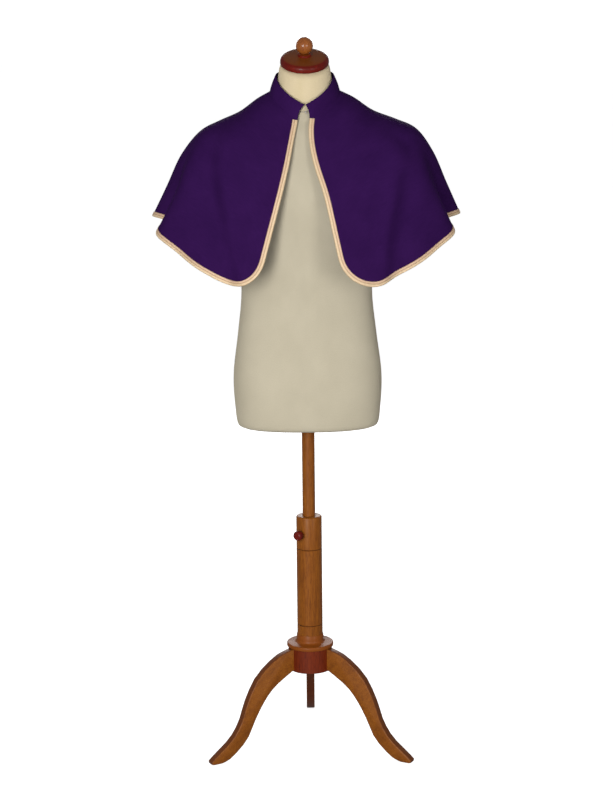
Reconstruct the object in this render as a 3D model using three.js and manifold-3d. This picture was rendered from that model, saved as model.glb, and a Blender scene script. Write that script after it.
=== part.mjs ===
// Altar server cape with a stand collar and a braided edge, as it hangs on a limbless
// dress form on a turned wooden tripod stand.
// Millimetres, +Z up, the front of the garment towards -Y. Left and right are as seen from
// the front, so that left is towards -X.
// Azimuths are degrees about the column: 0 is the front, 90 is +X, -90 is -X, 180 is the back.
import * as THREE from 'three';
import { mergeVertices } from 'three/addons/utils/BufferGeometryUtils.js';
import Module from 'manifold-3d';

const wasm = await Module();
wasm.setup();

// Driving sizes
const GAP = 0.3; // between pieces that touch
const CLOTH = 1.6; // wall of the cape, two layers of plain weave
const COLLAR_CLOTH = 2.0; // wall of the collar, stiffened
const BRAID_WIDTH = 12;
const BRAID_THICKNESS = 1.2;
const CORNER_RADIUS = 96; // of the round front corners, on the cloth
const SIDE_SEAM_AZIMUTH = 89; // the side seams lie in the side folds
const COLUMN_AXIS_Y = -46.5; // the column stands forward of the middle of the floor plan
const BUST_LIFT = 76; // heights on the form and the cape are measured from here, not the floor

// Level lines of the cape, from the neck seam down to where the cloth falls free.
// halfWidth, front, back: reach from the axis; shift: how far its middle lies towards +X
// square: 2 is an ellipse, more is squarer; frontZ, sideZ, backZ: heights
// law: how it climbs from the front to the side, 1 as a straight vee, 0 as a soft saddle,
// -1 in a plane; edgeLeft, edgeRight: how far the front edges lie from the middle
const CAPE_RINGS = [
  { halfWidth: 83, shift: 0, front: 75, back: 70, square: 2.0,
    frontZ: 1480, sideZ: 1543, backZ: 1566, law: 0.8, edgeLeft: 17, edgeRight: 11 },
  { halfWidth: 114, shift: 2, front: 83, back: 82, square: 2.0,
    frontZ: 1462, sideZ: 1528, backZ: 1553, law: 0.7, edgeLeft: 20.5, edgeRight: 8.5 },
  { halfWidth: 157, shift: 3, front: 95, back: 98, square: 2.1,
    frontZ: 1437, sideZ: 1498, backZ: 1532, law: 0.5, edgeLeft: 26.5, edgeRight: 8.5 },
  { halfWidth: 208, shift: 6, front: 108, back: 113, square: 2.2,
    frontZ: 1406, sideZ: 1477, backZ: 1506, law: 0.3, edgeLeft: 33.5, edgeRight: 12.5 },
  { halfWidth: 250, shift: 8, front: 121, back: 127, square: 2.3,
    frontZ: 1372, sideZ: 1456, backZ: 1472, law: 0.15, edgeLeft: 41, edgeRight: 20 },
  { halfWidth: 295, shift: 6, front: 143, back: 147, square: 2.35,
    frontZ: 1304, sideZ: 1400, backZ: 1400, law: 0, edgeLeft: 57, edgeRight: 40.5 },
];

// Top edge of the collar, whose ends meet at the front
const COLLAR_TOP = { halfWidth: 68.5, shift: 0, front: 74, back: 66, square: 2.0,
  frontZ: 1516, sideZ: 1583, backZ: 1604, law: 0.8, edgeLeft: 1.6, edgeRight: 1.9 };
const COLLAR_ROUNDNESS = 1.5; // how far the collar swells between its seam and its top

// The hem as cut, with sharp front corners and without its folds
const HEM_CORNER = { left: 31.4, right: 25 }; // azimuths of the front corners
const CORNER_LIFT = { left: -4, right: 13 }; // the corners hang this much above the table
const CORNER_LIFT_WIDTH = 15; // degrees from the corner over which that fades
const HEM = [
  { azimuth: 18, reach: 210, height: 1057 },
  { azimuth: 30, reach: 230, height: 1077 },
  { azimuth: 51, reach: 262, height: 1118 },
  { azimuth: 66, reach: 299, height: 1157 },
  { azimuth: 80, reach: 352, height: 1212 },
  { azimuth: 90, reach: 370, height: 1240 },
  { azimuth: 100, reach: 372, height: 1248 },
  { azimuth: 115, reach: 332, height: 1224 },
  { azimuth: 132, reach: 270, height: 1188 },
  { azimuth: 155, reach: 212, height: 1158 },
  { azimuth: 180, reach: 193, height: 1147 },
];
const HEM_HALF_WIDTH = 370; // of the oval whose outward direction the folds follow
const HEM_HALF_DEPTH = 198;

// Folds of the hanging cloth: azimuth of the hem rib at the fold's top and at the hem,
// half width in degrees, depth at the hem (outwards is positive), and where the fold
// starts, as a share of the way from the neck seam to the hem
const FOLDS = [
  { name: 'left front trough', top: -60, hem: -46, width: 7, depth: -13, start: 0.3 },
  { name: 'left front ridge', top: -68, hem: -62, width: 7, depth: 6, start: 0.35 },
  { name: 'left side ridge', top: -78, hem: -80, width: 5, depth: 9, start: 0.4 },
  { name: 'left side valley', top: -87, hem: -90, width: 5.5, depth: -40, start: 0.42 },
  { name: 'left back ridge', top: -98, hem: -100, width: 6, depth: 5, start: 0.4 },
  { name: 'left back trough', top: -118, hem: -121, width: 8, depth: -16, start: 0.45 },
  { name: 'left back swell', top: -138, hem: -140, width: 9, depth: 8, start: 0.5 },
  { name: 'middle back trough', top: -164, hem: -161, width: 8, depth: -12, start: 0.4 },
  { name: 'right front trough', top: 64, hem: 55, width: 7, depth: -11, start: 0.38 },
  { name: 'right front ridge', top: 70, hem: 67, width: 6, depth: 5, start: 0.4 },
  { name: 'right side ridge', top: 78, hem: 79, width: 5, depth: 8, start: 0.36 },
  { name: 'right side valley', top: 86, hem: 89, width: 5.5, depth: -38, start: 0.38 },
  { name: 'right back ridge', top: 97, hem: 99, width: 6, depth: 4, start: 0.4 },
  { name: 'right back trough', top: 122, hem: 126, width: 9, depth: -14, start: 0.42 },
  { name: 'right back swell', top: 146, hem: 145, width: 8, depth: 8, start: 0.5 },
  { name: 'back trough', top: 169, hem: 166, width: 7, depth: -10, start: 0.48 },
];

// How finely the cloth is divided
const UPPER_ROWS = 12; // from the neck seam to the start of the round corners
const CORNER_STEPS = 3; // in each half of a round corner
const FRONT_RIBS = 12; // from a round corner to a side seam
const BACK_RIBS = 18; // from a side seam to the middle of the back
const COLLAR_ROWS = 3;

// Level lines of the cloth covered form, from its flat base up to the neck
const FORM_RINGS = [
  { halfWidth: 160, front: 92, back: 100, square: 2.3, frontZ: 740, sideZ: 740, backZ: 740, law: -1 },
  { halfWidth: 170, front: 102, back: 110, square: 2.3, frontZ: 746, sideZ: 746, backZ: 746, law: -1 },
  { halfWidth: 177, front: 108, back: 117, square: 2.3, frontZ: 790, sideZ: 790, backZ: 790, law: -1 },
  { halfWidth: 180, front: 110, back: 120, square: 2.3, frontZ: 870, sideZ: 870, backZ: 870, law: -1 },
  { halfWidth: 168, front: 104, back: 108, square: 2.3, frontZ: 970, sideZ: 970, backZ: 970, law: -1 },
  { halfWidth: 158, front: 100, back: 100, square: 2.3, frontZ: 1070, sideZ: 1070, backZ: 1070, law: -1 },
  { halfWidth: 164, front: 107, back: 103, square: 2.35, frontZ: 1170, sideZ: 1170, backZ: 1170, law: -1 },
  { halfWidth: 177, front: 114, back: 109, square: 2.4, frontZ: 1260, sideZ: 1270, backZ: 1270, law: -1 },
  { halfWidth: 190, front: 112, back: 113, square: 2.5, frontZ: 1320, sideZ: 1350, backZ: 1345, law: -1 },
  { halfWidth: 198, front: 103, back: 111, square: 2.5, frontZ: 1370, sideZ: 1430, backZ: 1420, law: 0 },
  { halfWidth: 199, front: 97, back: 105, square: 2.5, frontZ: 1392, sideZ: 1462, backZ: 1460, law: 0 },
  { halfWidth: 190, front: 92, back: 98, square: 2.35, frontZ: 1412, sideZ: 1478.6, backZ: 1487, law: 0.1 },
  { halfWidth: 152, front: 84, back: 87, square: 2.15, frontZ: 1438, sideZ: 1494.6, backZ: 1520, law: 0.4 },
  { halfWidth: 109, front: 75, back: 75, square: 2.0, frontZ: 1460, sideZ: 1524, backZ: 1543, law: 0.6 },
  { halfWidth: 82, front: 69, back: 66, square: 2.0, frontZ: 1476, sideZ: 1536, backZ: 1558, law: 0.4 },
  { halfWidth: 74, front: 67, back: 63, square: 2.0, frontZ: 1497, sideZ: 1549, backZ: 1574, law: 0 },
  { halfWidth: 65, front: 60, back: 60, square: 2.0, frontZ: 1540, sideZ: 1574, backZ: 1602, law: -0.7 },
  { halfWidth: 60, front: 54, back: 59, square: 2.0, frontZ: 1576, sideZ: 1599, backZ: 1625, law: -1 },
];
const FORM_SEGMENTS = 36;

// Neck cap and finial, turned about the neck's own axis, which leans forward
const NECK_LEAN = 23.5;
const NECK_TUCK = 1.2; // the cap overhangs the neck by this much
const CAP_CENTRE_Z = 1616;
const CAP_RADIUS = 57.6;
const CAP_HALF_THICKNESS = 8.5;
const CAP_DOME = 3.5; // the top rises this far above its rim
const CAP_PEDESTAL_RADIUS = 16.5;
const BALL_RADIUS = 20.5;
const BALL_HEIGHT = 37.5; // of its centre above the middle of the cap
const BALL_SEAT_DEPTH = 1.6; // the ball is cut flat by this much, where it sits on the cap
const BALL_SEAT_RADIUS = 8;
const BALL_SEGMENTS = 24;
const TURNED_SEGMENTS = 30;

// Column, pole and clamp
const COLUMN_RADIUS = 31.5;
const COLUMN_BASE_Z = 200;
const COLUMN_TOP_Z = 590;
const COLUMN_GROOVES = [313.6, 507.3]; // heights of the turned grooves
const GROOVE_DEPTH = 1.3;
const GROOVE_HALF_WIDTH = 1.6;
const POLE_RADIUS = 15.7;
const POLE_BASE_Z = 350;
const POLE_TOP_Z = 876;
const BORE_FLOOR_Z = 214;
const CLAMP_Z = 548;
const CLAMP_AZIMUTH = -35;
const CLAMP_SCREW_RADIUS = 4;
const KNOB_RADIUS = 12;
const KNOB_REACH = 34.5; // from the axis to the knob's face beside the column
const KNOB_LENGTH = 20;
const KNOB_SEGMENTS = 16;

// Hub and legs
const HUB_RADIUS = 54;
const HUB_BASE_Z = 198.4;
const FLANGE_RADIUS = 57.5;
const FLANGE_BASE_Z = 257;
const HUB_TOP_Z = 288.6;
const LEG_THICKNESS = 21;
const LEG_ROUNDING = 2.5;
const LEG_AZIMUTHS = { leg_left: -60, leg_right: 60, leg_back: 180 };
// The leg's side view: reach from the axis and height, along its top and its underside
const LEG_TOP = [
  [48, 256.4], [61, 254.6], [100, 240.4], [151, 199.2], [183, 142.9], [201.5, 93], [228, 54.2],
  [272, 19.7],
];
const LEG_TIP = { reach: 286, height: 7.4 };
const LEG_SOLE = { inner: 257, outer: 279 };
const LEG_UNDERSIDE = [
  [230.5, 9.5], [187, 47.3], [162.5, 94], [137.4, 135], [108, 168.1], [60.5, 198], [48, 203],
];

// Hook and eye, bent from wire
const WIRE_RADIUS = 0.55;
const HOOK_Z = 1499;
const EYE_BAR_X = 0;
const EYE_LENGTH = 3.5; // from the bar to the shoulders of the eye
const EYE_HALF_HEIGHT = 2.4;
const EYE_BAR_CORNER = 0.8; // the wire's bend from the bar into the eye's sides
const EYE_NARROWING = 0.8; // height of the eye beside its bar, as a share
const HOOK_TAIL = 2.5; // how far the hook's end runs back behind the bar
const HOOK_SLACK = 0.2;
const SEWING_TURN = 4; // azimuth from a front edge to where the wires are sewn
const SEWING_SLACK = 0.25; // between the wire and the collar, over the usual gap

// Materials
const finishes = {
  purpleCloth: { color: 0x361a50, roughness: 0.85, metalness: 0 },
  braid: { color: 0xe3c49d, roughness: 0.5, metalness: 0.15 },
  creamCloth: { color: 0xddcfb0, roughness: 0.9, metalness: 0 },
  mahogany: { color: 0x55200f, roughness: 0.25, metalness: 0 },
  beech: { color: 0x8a4e23, roughness: 0.35, metalness: 0 },
  ballWood: { color: 0x91552a, roughness: 0.25, metalness: 0 },
  steelWire: { color: 0xb9b9bd, roughness: 0.35, metalness: 0.9 },
};

const radians = THREE.MathUtils.degToRad;
const degrees = THREE.MathUtils.radToDeg;
const lerp = THREE.MathUtils.lerp;

function outwards(azimuth) {
  return new THREE.Vector3(Math.sin(radians(azimuth)), -Math.cos(radians(azimuth)), 0);
}

// How far a level line has climbed from its front (or back) height to its side height
function climb(law, turn) {
  const saddle = Math.sin(turn) ** 2;
  if (law >= 0) return lerp(saddle, turn / (Math.PI / 2), law);
  return lerp(saddle, 1 - Math.cos(turn), -law);
}

function ringPoint(ring, azimuth) {
  const across = Math.sin(radians(azimuth));
  const ahead = Math.cos(radians(azimuth));
  const inFront = ahead > 0;
  const depth = inFront ? ring.front : ring.back;
  const power = ring.square;
  const sum = (Math.abs(across) / ring.halfWidth) ** power + (Math.abs(ahead) / depth) ** power;
  const reach = sum ** (-1 / power);
  const turn = radians(inFront ? Math.abs(azimuth) : 180 - Math.abs(azimuth));
  const middleZ = inFront ? ring.frontZ : ring.backZ;
  const x = reach * across + (ring.shift ?? 0) * Math.abs(across);
  return new THREE.Vector3(x, -reach * ahead, lerp(middleZ, ring.sideZ, climb(ring.law, turn)));
}

// A smooth curve through the rows of a table, level at its last row
function tableValue(rows, position, column) {
  const place = THREE.MathUtils.clamp(position, rows[0].azimuth, rows.at(-1).azimuth);
  const next = Math.max(1, rows.findIndex((row) => row.azimuth >= place));
  const slope = (index) => {
    const before = rows[Math.max(0, index - 1)];
    const after = rows[index + 1];
    if (!after) return 0;
    return (after[column] - before[column]) / (after.azimuth - before.azimuth);
  };
  const low = rows[next - 1];
  const high = rows[next];
  const span = high.azimuth - low.azimuth;
  const t = (place - low.azimuth) / span;
  const bend = (low[column] - high[column]) * (2 * t - 3) * t * t + low[column];
  return bend + span * t * (t - 1) * ((t - 1) * slope(next - 1) + t * slope(next));
}

function sideOf(azimuth) {
  return azimuth < 0 ? 'left' : 'right';
}

function hemPoint(azimuth) {
  const turn = Math.abs(azimuth);
  const side = sideOf(azimuth);
  const fade = Math.exp(-(((turn - HEM_CORNER[side]) / CORNER_LIFT_WIDTH) ** 2));
  const point = outwards(azimuth).multiplyScalar(tableValue(HEM, turn, 'reach'));
  return point.setZ(tableValue(HEM, turn, 'height') + CORNER_LIFT[side] * fade);
}

function edgeAzimuth(ring, side) {
  const offset = side === 'left' ? ring.edgeLeft : ring.edgeRight;
  return degrees(Math.atan2(offset, ring.front));
}

// Share of the way round one side, from the front edge (0) to the middle of the back (1)
function shareRound(azimuth) {
  const corner = HEM_CORNER[sideOf(azimuth)];
  return (Math.abs(azimuth) - corner) / (180 - corner);
}

function ringAzimuth(ring, azimuth) {
  const side = sideOf(azimuth);
  const turn = lerp(edgeAzimuth(ring, side), 180, shareRound(azimuth));
  return side === 'left' ? -turn : turn;
}

// A rib of the cloth, from the neck seam over the shoulder to the hem as cut
const ribs = new Map();
function rib(azimuth) {
  if (!ribs.has(azimuth)) {
    const points = CAPE_RINGS.map((ring) => ringPoint(ring, ringAzimuth(ring, azimuth)));
    const hem = hemPoint(azimuth);
    points.push(points.at(-1).clone().lerp(hem, 0.5), hem);
    ribs.set(azimuth, new THREE.CatmullRomCurve3(points, false, 'centripetal'));
  }
  return ribs.get(azimuth);
}

function foldDepth(azimuth, share) {
  let depth = 0;
  for (const fold of FOLDS) {
    const grown = THREE.MathUtils.clamp((share - fold.start) / (1 - fold.start), 0, 1);
    const middle = lerp(fold.top, fold.hem, grown);
    const away = THREE.MathUtils.euclideanModulo(azimuth - middle + 180, 360) - 180;
    depth += fold.depth * grown ** 1.25 * Math.exp(-((away / fold.width) ** 2));
  }
  return depth;
}

// Point of the cape's outer face; share runs from the neck seam (0) to the hem (1)
function capePoint(azimuth, share) {
  const hem = hemPoint(azimuth);
  const outward = new THREE.Vector3(hem.x / HEM_HALF_WIDTH ** 2, hem.y / HEM_HALF_DEPTH ** 2, 0);
  const point = rib(azimuth).getPointAt(THREE.MathUtils.clamp(share, 0, 1));
  return point.addScaledVector(outward.normalize(), foldDepth(azimuth, share));
}

// Azimuth of the rib that meets the hem at a distance from the front corner
const HEM_STEP = 0.5;
function hemAzimuth(side, distance) {
  const sign = side === 'left' ? -1 : 1;
  let turn = HEM_CORNER[side];
  let before = hemPoint(sign * turn);
  let run = 0;
  while (turn < 180) {
    const after = hemPoint(sign * (turn + HEM_STEP));
    const step = after.distanceTo(before);
    if (run + step >= distance) return sign * (turn + HEM_STEP * (distance - run) / step);
    run += step;
    turn += HEM_STEP;
    before = after;
  }
  return 180 * sign;
}

// Azimuth of the braid's inner line beside the front edge, at one share of the way down
function braidAzimuth(side, share) {
  const sign = side === 'left' ? -1 : 1;
  const corner = HEM_CORNER[side];
  const trial = 2;
  const width = capePoint(sign * corner, share).distanceTo(capePoint(sign * (corner + trial), share));
  return sign * (corner + trial * BRAID_WIDTH / width);
}

// A place in the cloth near a front corner, from its distances to the edge and the hem
function cornerPlace(side, fromEdge, fromHem) {
  const azimuth = hemAzimuth(side, fromEdge);
  return { azimuth, share: 1 - fromHem / rib(azimuth).getLength() };
}

// A place on the round corner, or inside it by a width; turn runs from edge to hem
function roundPlace(side, inside, turn) {
  const radius = CORNER_RADIUS - inside;
  const fromEdge = CORNER_RADIUS - radius * Math.cos(radians(turn));
  const fromHem = CORNER_RADIUS - radius * Math.sin(radians(turn));
  return cornerPlace(side, fromEdge, fromHem);
}

// The cloth as rows of places, from the neck seam down to the hem.
// The two outermost columns and the two lowest rows hold the braid between them.
const LAST_ROW = UPPER_ROWS + CORNER_STEPS;
const SIDE_COLUMNS = CORNER_STEPS + FRONT_RIBS + BACK_RIBS;

function ribAzimuth(side, column) {
  const sign = side === 'left' ? -1 : 1;
  const seam = SIDE_SEAM_AZIMUTH;
  if (column <= CORNER_STEPS + FRONT_RIBS) {
    const start = Math.abs(hemAzimuth(side, CORNER_RADIUS));
    return sign * lerp(start, seam, (column - CORNER_STEPS) / FRONT_RIBS);
  }
  return sign * lerp(seam, 180, (column - CORNER_STEPS - FRONT_RIBS) / BACK_RIBS);
}

function rowFromHem(row) {
  if (row === LAST_ROW) return 0;
  if (row === LAST_ROW - 1) return BRAID_WIDTH;
  return lerp(CORNER_RADIUS, BRAID_WIDTH, (row - UPPER_ROWS) / (CORNER_STEPS - 1));
}

function clothPlace(side, column, row) {
  const half = 45;
  const outerTurn = half / CORNER_STEPS;
  const innerTurn = half / (CORNER_STEPS - 1);
  const aboveCorner = row < UPPER_ROWS;
  const edgeStart = roundPlace(side, 0, 0);
  if (aboveCorner) {
    const share = edgeStart.share * row / UPPER_ROWS;
    if (column === 0) return { azimuth: edgeStart.azimuth, share };
    if (column === 1) return { azimuth: braidAzimuth(side, share), share };
    if (column < CORNER_STEPS) {
      return { azimuth: roundPlace(side, BRAID_WIDTH, half + innerTurn * (column - 1)).azimuth, share };
    }
    return { azimuth: ribAzimuth(side, column), share };
  }
  if (column === 0) return roundPlace(side, 0, outerTurn * (row - UPPER_ROWS));
  if (row === LAST_ROW && column <= CORNER_STEPS) return roundPlace(side, 0, half + outerTurn * column);
  if (column === 1) return roundPlace(side, BRAID_WIDTH, innerTurn * (row - UPPER_ROWS));
  if (row === LAST_ROW - 1 && column <= CORNER_STEPS) {
    return roundPlace(side, BRAID_WIDTH, half + innerTurn * (column - 1));
  }
  if (column < CORNER_STEPS) {
    const fromEdge = lerp(BRAID_WIDTH, CORNER_RADIUS, (column - 1) / (CORNER_STEPS - 1));
    return cornerPlace(side, fromEdge, rowFromHem(row));
  }
  const azimuth = ribAzimuth(side, column);
  return { azimuth, share: 1 - rowFromHem(row) / rib(azimuth).getLength() };
}

// All columns from the left front edge, round the back, to the right front edge
const COLUMNS = 2 * SIDE_COLUMNS;
const LEFT_SEAM = CORNER_STEPS + FRONT_RIBS;
const RIGHT_SEAM = COLUMNS - LEFT_SEAM;

function columnPlace(column, row) {
  if (column <= SIDE_COLUMNS) return clothPlace('left', column, row);
  return clothPlace('right', COLUMNS - column, row);
}

// A net of points with their outward directions, columns turning left to right round
// the back and rows going down
function makeNet(columns, rows, pointAt) {
  const points = [];
  for (let column = 0; column <= columns; column += 1) {
    points.push([]);
    for (let row = 0; row <= rows; row += 1) points[column].push(pointAt(column, row));
  }
  const normals = points.map((line, column) => line.map((point, row) => {
    const across = new THREE.Vector3().subVectors(
      points[Math.min(columns, column + 1)][row],
      points[Math.max(0, column - 1)][row],
    );
    const down = new THREE.Vector3().subVectors(
      line[Math.min(rows, row + 1)],
      line[Math.max(0, row - 1)],
    );
    return across.cross(down).normalize();
  }));
  return { columns, rows, points, normals };
}

// A closed wall over the chosen cells of a net, between two heights above its face
function wallOver(net, hasCell, inner, outer, pointAt = (column, row) => net.points[column][row]) {
  const positions = [];
  const index = [];
  const corners = new Map();
  const corner = (column, row) => {
    const key = column * (net.rows + 1) + row;
    if (!corners.has(key)) {
      corners.set(key, corners.size);
      for (const lift of [outer, inner]) {
        const point = pointAt(column, row).clone().addScaledVector(net.normals[column][row], lift);
        positions.push(point.x, point.y, point.z);
      }
    }
    return corners.get(key) * 2;
  };
  const edges = new Map();
  const face = (a, b, c) => {
    index.push(a, b, c, a + 1, c + 1, b + 1);
    for (const [from, to] of [[a, b], [b, c], [c, a]]) {
      if (!edges.delete(`${to} ${from}`)) edges.set(`${from} ${to}`, [from, to]);
    }
  };
  for (let column = 0; column < net.columns; column += 1) {
    for (let row = 0; row < net.rows; row += 1) {
      if (!hasCell(column, row)) continue;
      const a = corner(column, row);
      const b = corner(column + 1, row);
      const c = corner(column + 1, row + 1);
      const d = corner(column, row + 1);
      face(a, b, c);
      face(a, c, d);
    }
  }
  for (const [from, to] of edges.values()) {
    index.push(from, from + 1, to + 1, from, to + 1, to);
  }
  const geometry = new THREE.BufferGeometry();
  geometry.setAttribute('position', new THREE.Float32BufferAttribute(positions, 3));
  geometry.setIndex(index);
  geometry.computeVertexNormals();
  return geometry;
}

const capeNet = makeNet(COLUMNS, LAST_ROW, (column, row) => {
  const place = columnPlace(column, row);
  return capePoint(place.azimuth, place.share);
});

// One panel of the cape; where it meets the next one it stops half a gap short
function capePanel(first, last) {
  const pointAt = (column, row) => {
    const point = capeNet.points[column][row];
    const atSeam = column === LEFT_SEAM || column === RIGHT_SEAM;
    if (!atSeam) return point;
    const line = capeNet.points[column];
    const down = line[Math.min(LAST_ROW, row + 1)].clone().sub(line[Math.max(0, row - 1)]);
    const across = down.cross(capeNet.normals[column][row]).normalize();
    return point.clone().addScaledVector(across, column === first ? GAP / 2 : -GAP / 2);
  };
  return wallOver(capeNet, (column) => column >= first && column < last, -CLOTH, 0, pointAt);
}

// The braid lies on the panels, along both front edges and the whole hem
function edgeBraid() {
  const onEdge = (column, row) => column === 0 || column === COLUMNS - 1 || row === LAST_ROW - 1;
  return wallOver(capeNet, onEdge, GAP, GAP + BRAID_THICKNESS);
}

// The collar stands on the neck seam, rib for rib; down runs from its top to the seam
function collarPoint(azimuth, down) {
  const seam = CAPE_RINGS[0];
  const side = sideOf(azimuth);
  const edge = lerp(edgeAzimuth(COLLAR_TOP, side), edgeAzimuth(seam, side), down);
  const turn = lerp(edge, 180, shareRound(azimuth)) * (side === 'left' ? -1 : 1);
  const point = ringPoint(COLLAR_TOP, turn).lerp(ringPoint(seam, turn), down);
  point.addScaledVector(outwards(turn), COLLAR_ROUNDNESS * Math.sin(Math.PI * down));
  return point.setZ(point.z + GAP);
}

const collarNet = makeNet(COLUMNS, COLLAR_ROWS, (column, row) => (
  collarPoint(columnPlace(column, 0).azimuth, row / COLLAR_ROWS)));

function collar() {
  return wallOver(collarNet, () => true, -COLLAR_CLOTH, 0);
}

// Round wire along a smooth path
function wire(points) {
  const section = new THREE.Shape().absarc(0, 0, WIRE_RADIUS, 0, 2 * Math.PI);
  const path = new THREE.CatmullRomCurve3(points, false, 'centripetal');
  return new THREE.ExtrudeGeometry(section, {
    curveSegments: 3,
    steps: 4 * (points.length - 1),
    bevelEnabled: false,
    extrudePath: path,
  });
}

// Where a wire is sewn to the inner face of a collar end, at the height of the eye's bar
function sewingPoint(azimuth) {
  const top = collarPoint(azimuth, 0);
  const seam = collarPoint(azimuth, 1);
  const down = (top.z - HOOK_Z) / (top.z - seam.z);
  const point = collarPoint(azimuth, down);
  const inward = point.clone().setZ(0).normalize();
  return point.addScaledVector(inward, -(COLLAR_CLOTH + GAP + WIRE_RADIUS + SEWING_SLACK));
}

const eyeEnd = sewingPoint(HEM_CORNER.right + SEWING_TURN);
const hookEnd = sewingPoint(-HEM_CORNER.left - SEWING_TURN);
const eyeBar = new THREE.Vector3(EYE_BAR_X, Math.min(eyeEnd.y, hookEnd.y), HOOK_Z);

function eye() {
  const half = (sign) => [
    new THREE.Vector3(eyeEnd.x, eyeEnd.y, HOOK_Z + sign * EYE_HALF_HEIGHT),
    new THREE.Vector3(eyeBar.x + EYE_LENGTH, eyeBar.y, HOOK_Z + sign * EYE_HALF_HEIGHT),
    new THREE.Vector3(eyeBar.x + EYE_BAR_CORNER, eyeBar.y, HOOK_Z + sign * EYE_HALF_HEIGHT * EYE_NARROWING),
  ];
  return wire([...half(1), eyeBar.clone(), ...half(-1).reverse()]);
}

function hook() {
  const clear = 2 * WIRE_RADIUS + GAP + HOOK_SLACK;
  const besideBar = (x, y) => new THREE.Vector3(eyeBar.x + x, eyeBar.y + y, HOOK_Z);
  return wire([
    hookEnd,
    besideBar(-EYE_LENGTH, clear),
    besideBar(-WIRE_RADIUS, clear),
    besideBar(clear, 0),
    besideBar(0, -clear),
    besideBar(-HOOK_TAIL, -clear),
  ]);
}

// A solid of revolution about +Z from a profile of [radius, height] pairs
function turned(profile, segments = TURNED_SEGMENTS) {
  const points = profile.map(([radius, height]) => new THREE.Vector2(radius, height));
  return new THREE.LatheGeometry(points, segments).rotateX(Math.PI / 2);
}

function toSolid(geometry) {
  const bare = geometry.clone();
  bare.deleteAttribute('normal');
  bare.deleteAttribute('uv');
  const merged = mergeVertices(bare, 1e-4);
  return new wasm.Manifold(new wasm.Mesh({
    numProp: 3,
    vertProperties: new Float32Array(merged.attributes.position.array),
    triVerts: new Uint32Array(merged.index.array),
  }));
}

function toGeometry(solid) {
  const mesh = solid.getMesh();
  const geometry = new THREE.BufferGeometry();
  geometry.setAttribute('position', new THREE.BufferAttribute(mesh.vertProperties, 3));
  geometry.setIndex(new THREE.BufferAttribute(mesh.triVerts, 1));
  geometry.computeVertexNormals();
  return geometry;
}

// Points of a quarter of a round, about a centre, from one angle to another
function arcProfile(radius, height, size, from, to, steps) {
  return Array.from({ length: steps + 1 }, (_, step) => {
    const angle = radians(lerp(from, to, step / steps));
    return [radius + size * Math.cos(angle), height + size * Math.sin(angle)];
  });
}

function cylinder(radius, low, high, segments = TURNED_SEGMENTS) {
  const geometry = new THREE.CylinderGeometry(radius, radius, high - low, segments);
  return geometry.rotateX(Math.PI / 2).translate(0, 0, (low + high) / 2);
}

// The clamp screw runs level through the column's wall
function alongClamp(geometry) {
  return geometry.rotateX(Math.PI / 2).rotateZ(radians(CLAMP_AZIMUTH)).translate(0, 0, CLAMP_Z);
}

function column() {
  const grooves = COLUMN_GROOVES.flatMap((height) => [
    [COLUMN_RADIUS, height - GROOVE_HALF_WIDTH],
    [COLUMN_RADIUS - GROOVE_DEPTH, height],
    [COLUMN_RADIUS, height + GROOVE_HALF_WIDTH],
  ]);
  const rim = 4;
  const beyond = 5; // how far the hole's tool runs past both faces of the wall
  const profile = [
    [0, COLUMN_BASE_Z], [COLUMN_RADIUS, COLUMN_BASE_Z],
    ...grooves,
    ...arcProfile(COLUMN_RADIUS - rim, COLUMN_TOP_Z - rim, rim, 0, 90, 3),
    [POLE_RADIUS + GAP, COLUMN_TOP_Z], [POLE_RADIUS + GAP, BORE_FLOOR_Z], [0, BORE_FLOOR_Z],
  ];
  const screwHole = alongClamp(
    cylinder(CLAMP_SCREW_RADIUS + GAP, POLE_RADIUS - beyond, COLUMN_RADIUS + beyond, KNOB_SEGMENTS),
  );
  return toGeometry(toSolid(turned(profile)).subtract(toSolid(screwHole)));
}

function clampKnob() {
  const screwTip = POLE_RADIUS + GAP;
  const neckRadius = 7;
  const neckEnd = KNOB_REACH + 4;
  const round = KNOB_RADIUS / 2;
  const far = KNOB_REACH + KNOB_LENGTH;
  const profile = [
    [0, screwTip], [CLAMP_SCREW_RADIUS, screwTip], [CLAMP_SCREW_RADIUS, KNOB_REACH],
    [neckRadius, KNOB_REACH], [neckRadius, neckEnd],
    ...arcProfile(KNOB_RADIUS - round, neckEnd + round, round, -60, 0, 3),
    ...arcProfile(KNOB_RADIUS - round, far - round, round, 0, 90, 4),
    [0, far],
  ];
  return alongClamp(turned(profile, KNOB_SEGMENTS));
}

function hub() {
  const bore = COLUMN_RADIUS + GAP;
  const chamfer = 2;
  const ledge = 4; // flat top between the round of the flange and the column
  const round = FLANGE_RADIUS - bore - ledge;
  const profile = [
    [bore, HUB_BASE_Z], [HUB_RADIUS - chamfer, HUB_BASE_Z], [HUB_RADIUS, HUB_BASE_Z + chamfer],
    [HUB_RADIUS, FLANGE_BASE_Z], [FLANGE_RADIUS - chamfer, FLANGE_BASE_Z],
    [FLANGE_RADIUS, FLANGE_BASE_Z + chamfer],
    ...arcProfile(FLANGE_RADIUS - round, HUB_TOP_Z - round, round, 0, 85, 6),
    [bore, HUB_TOP_Z], [bore, HUB_BASE_Z],
  ];
  return turned(profile);
}

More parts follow.
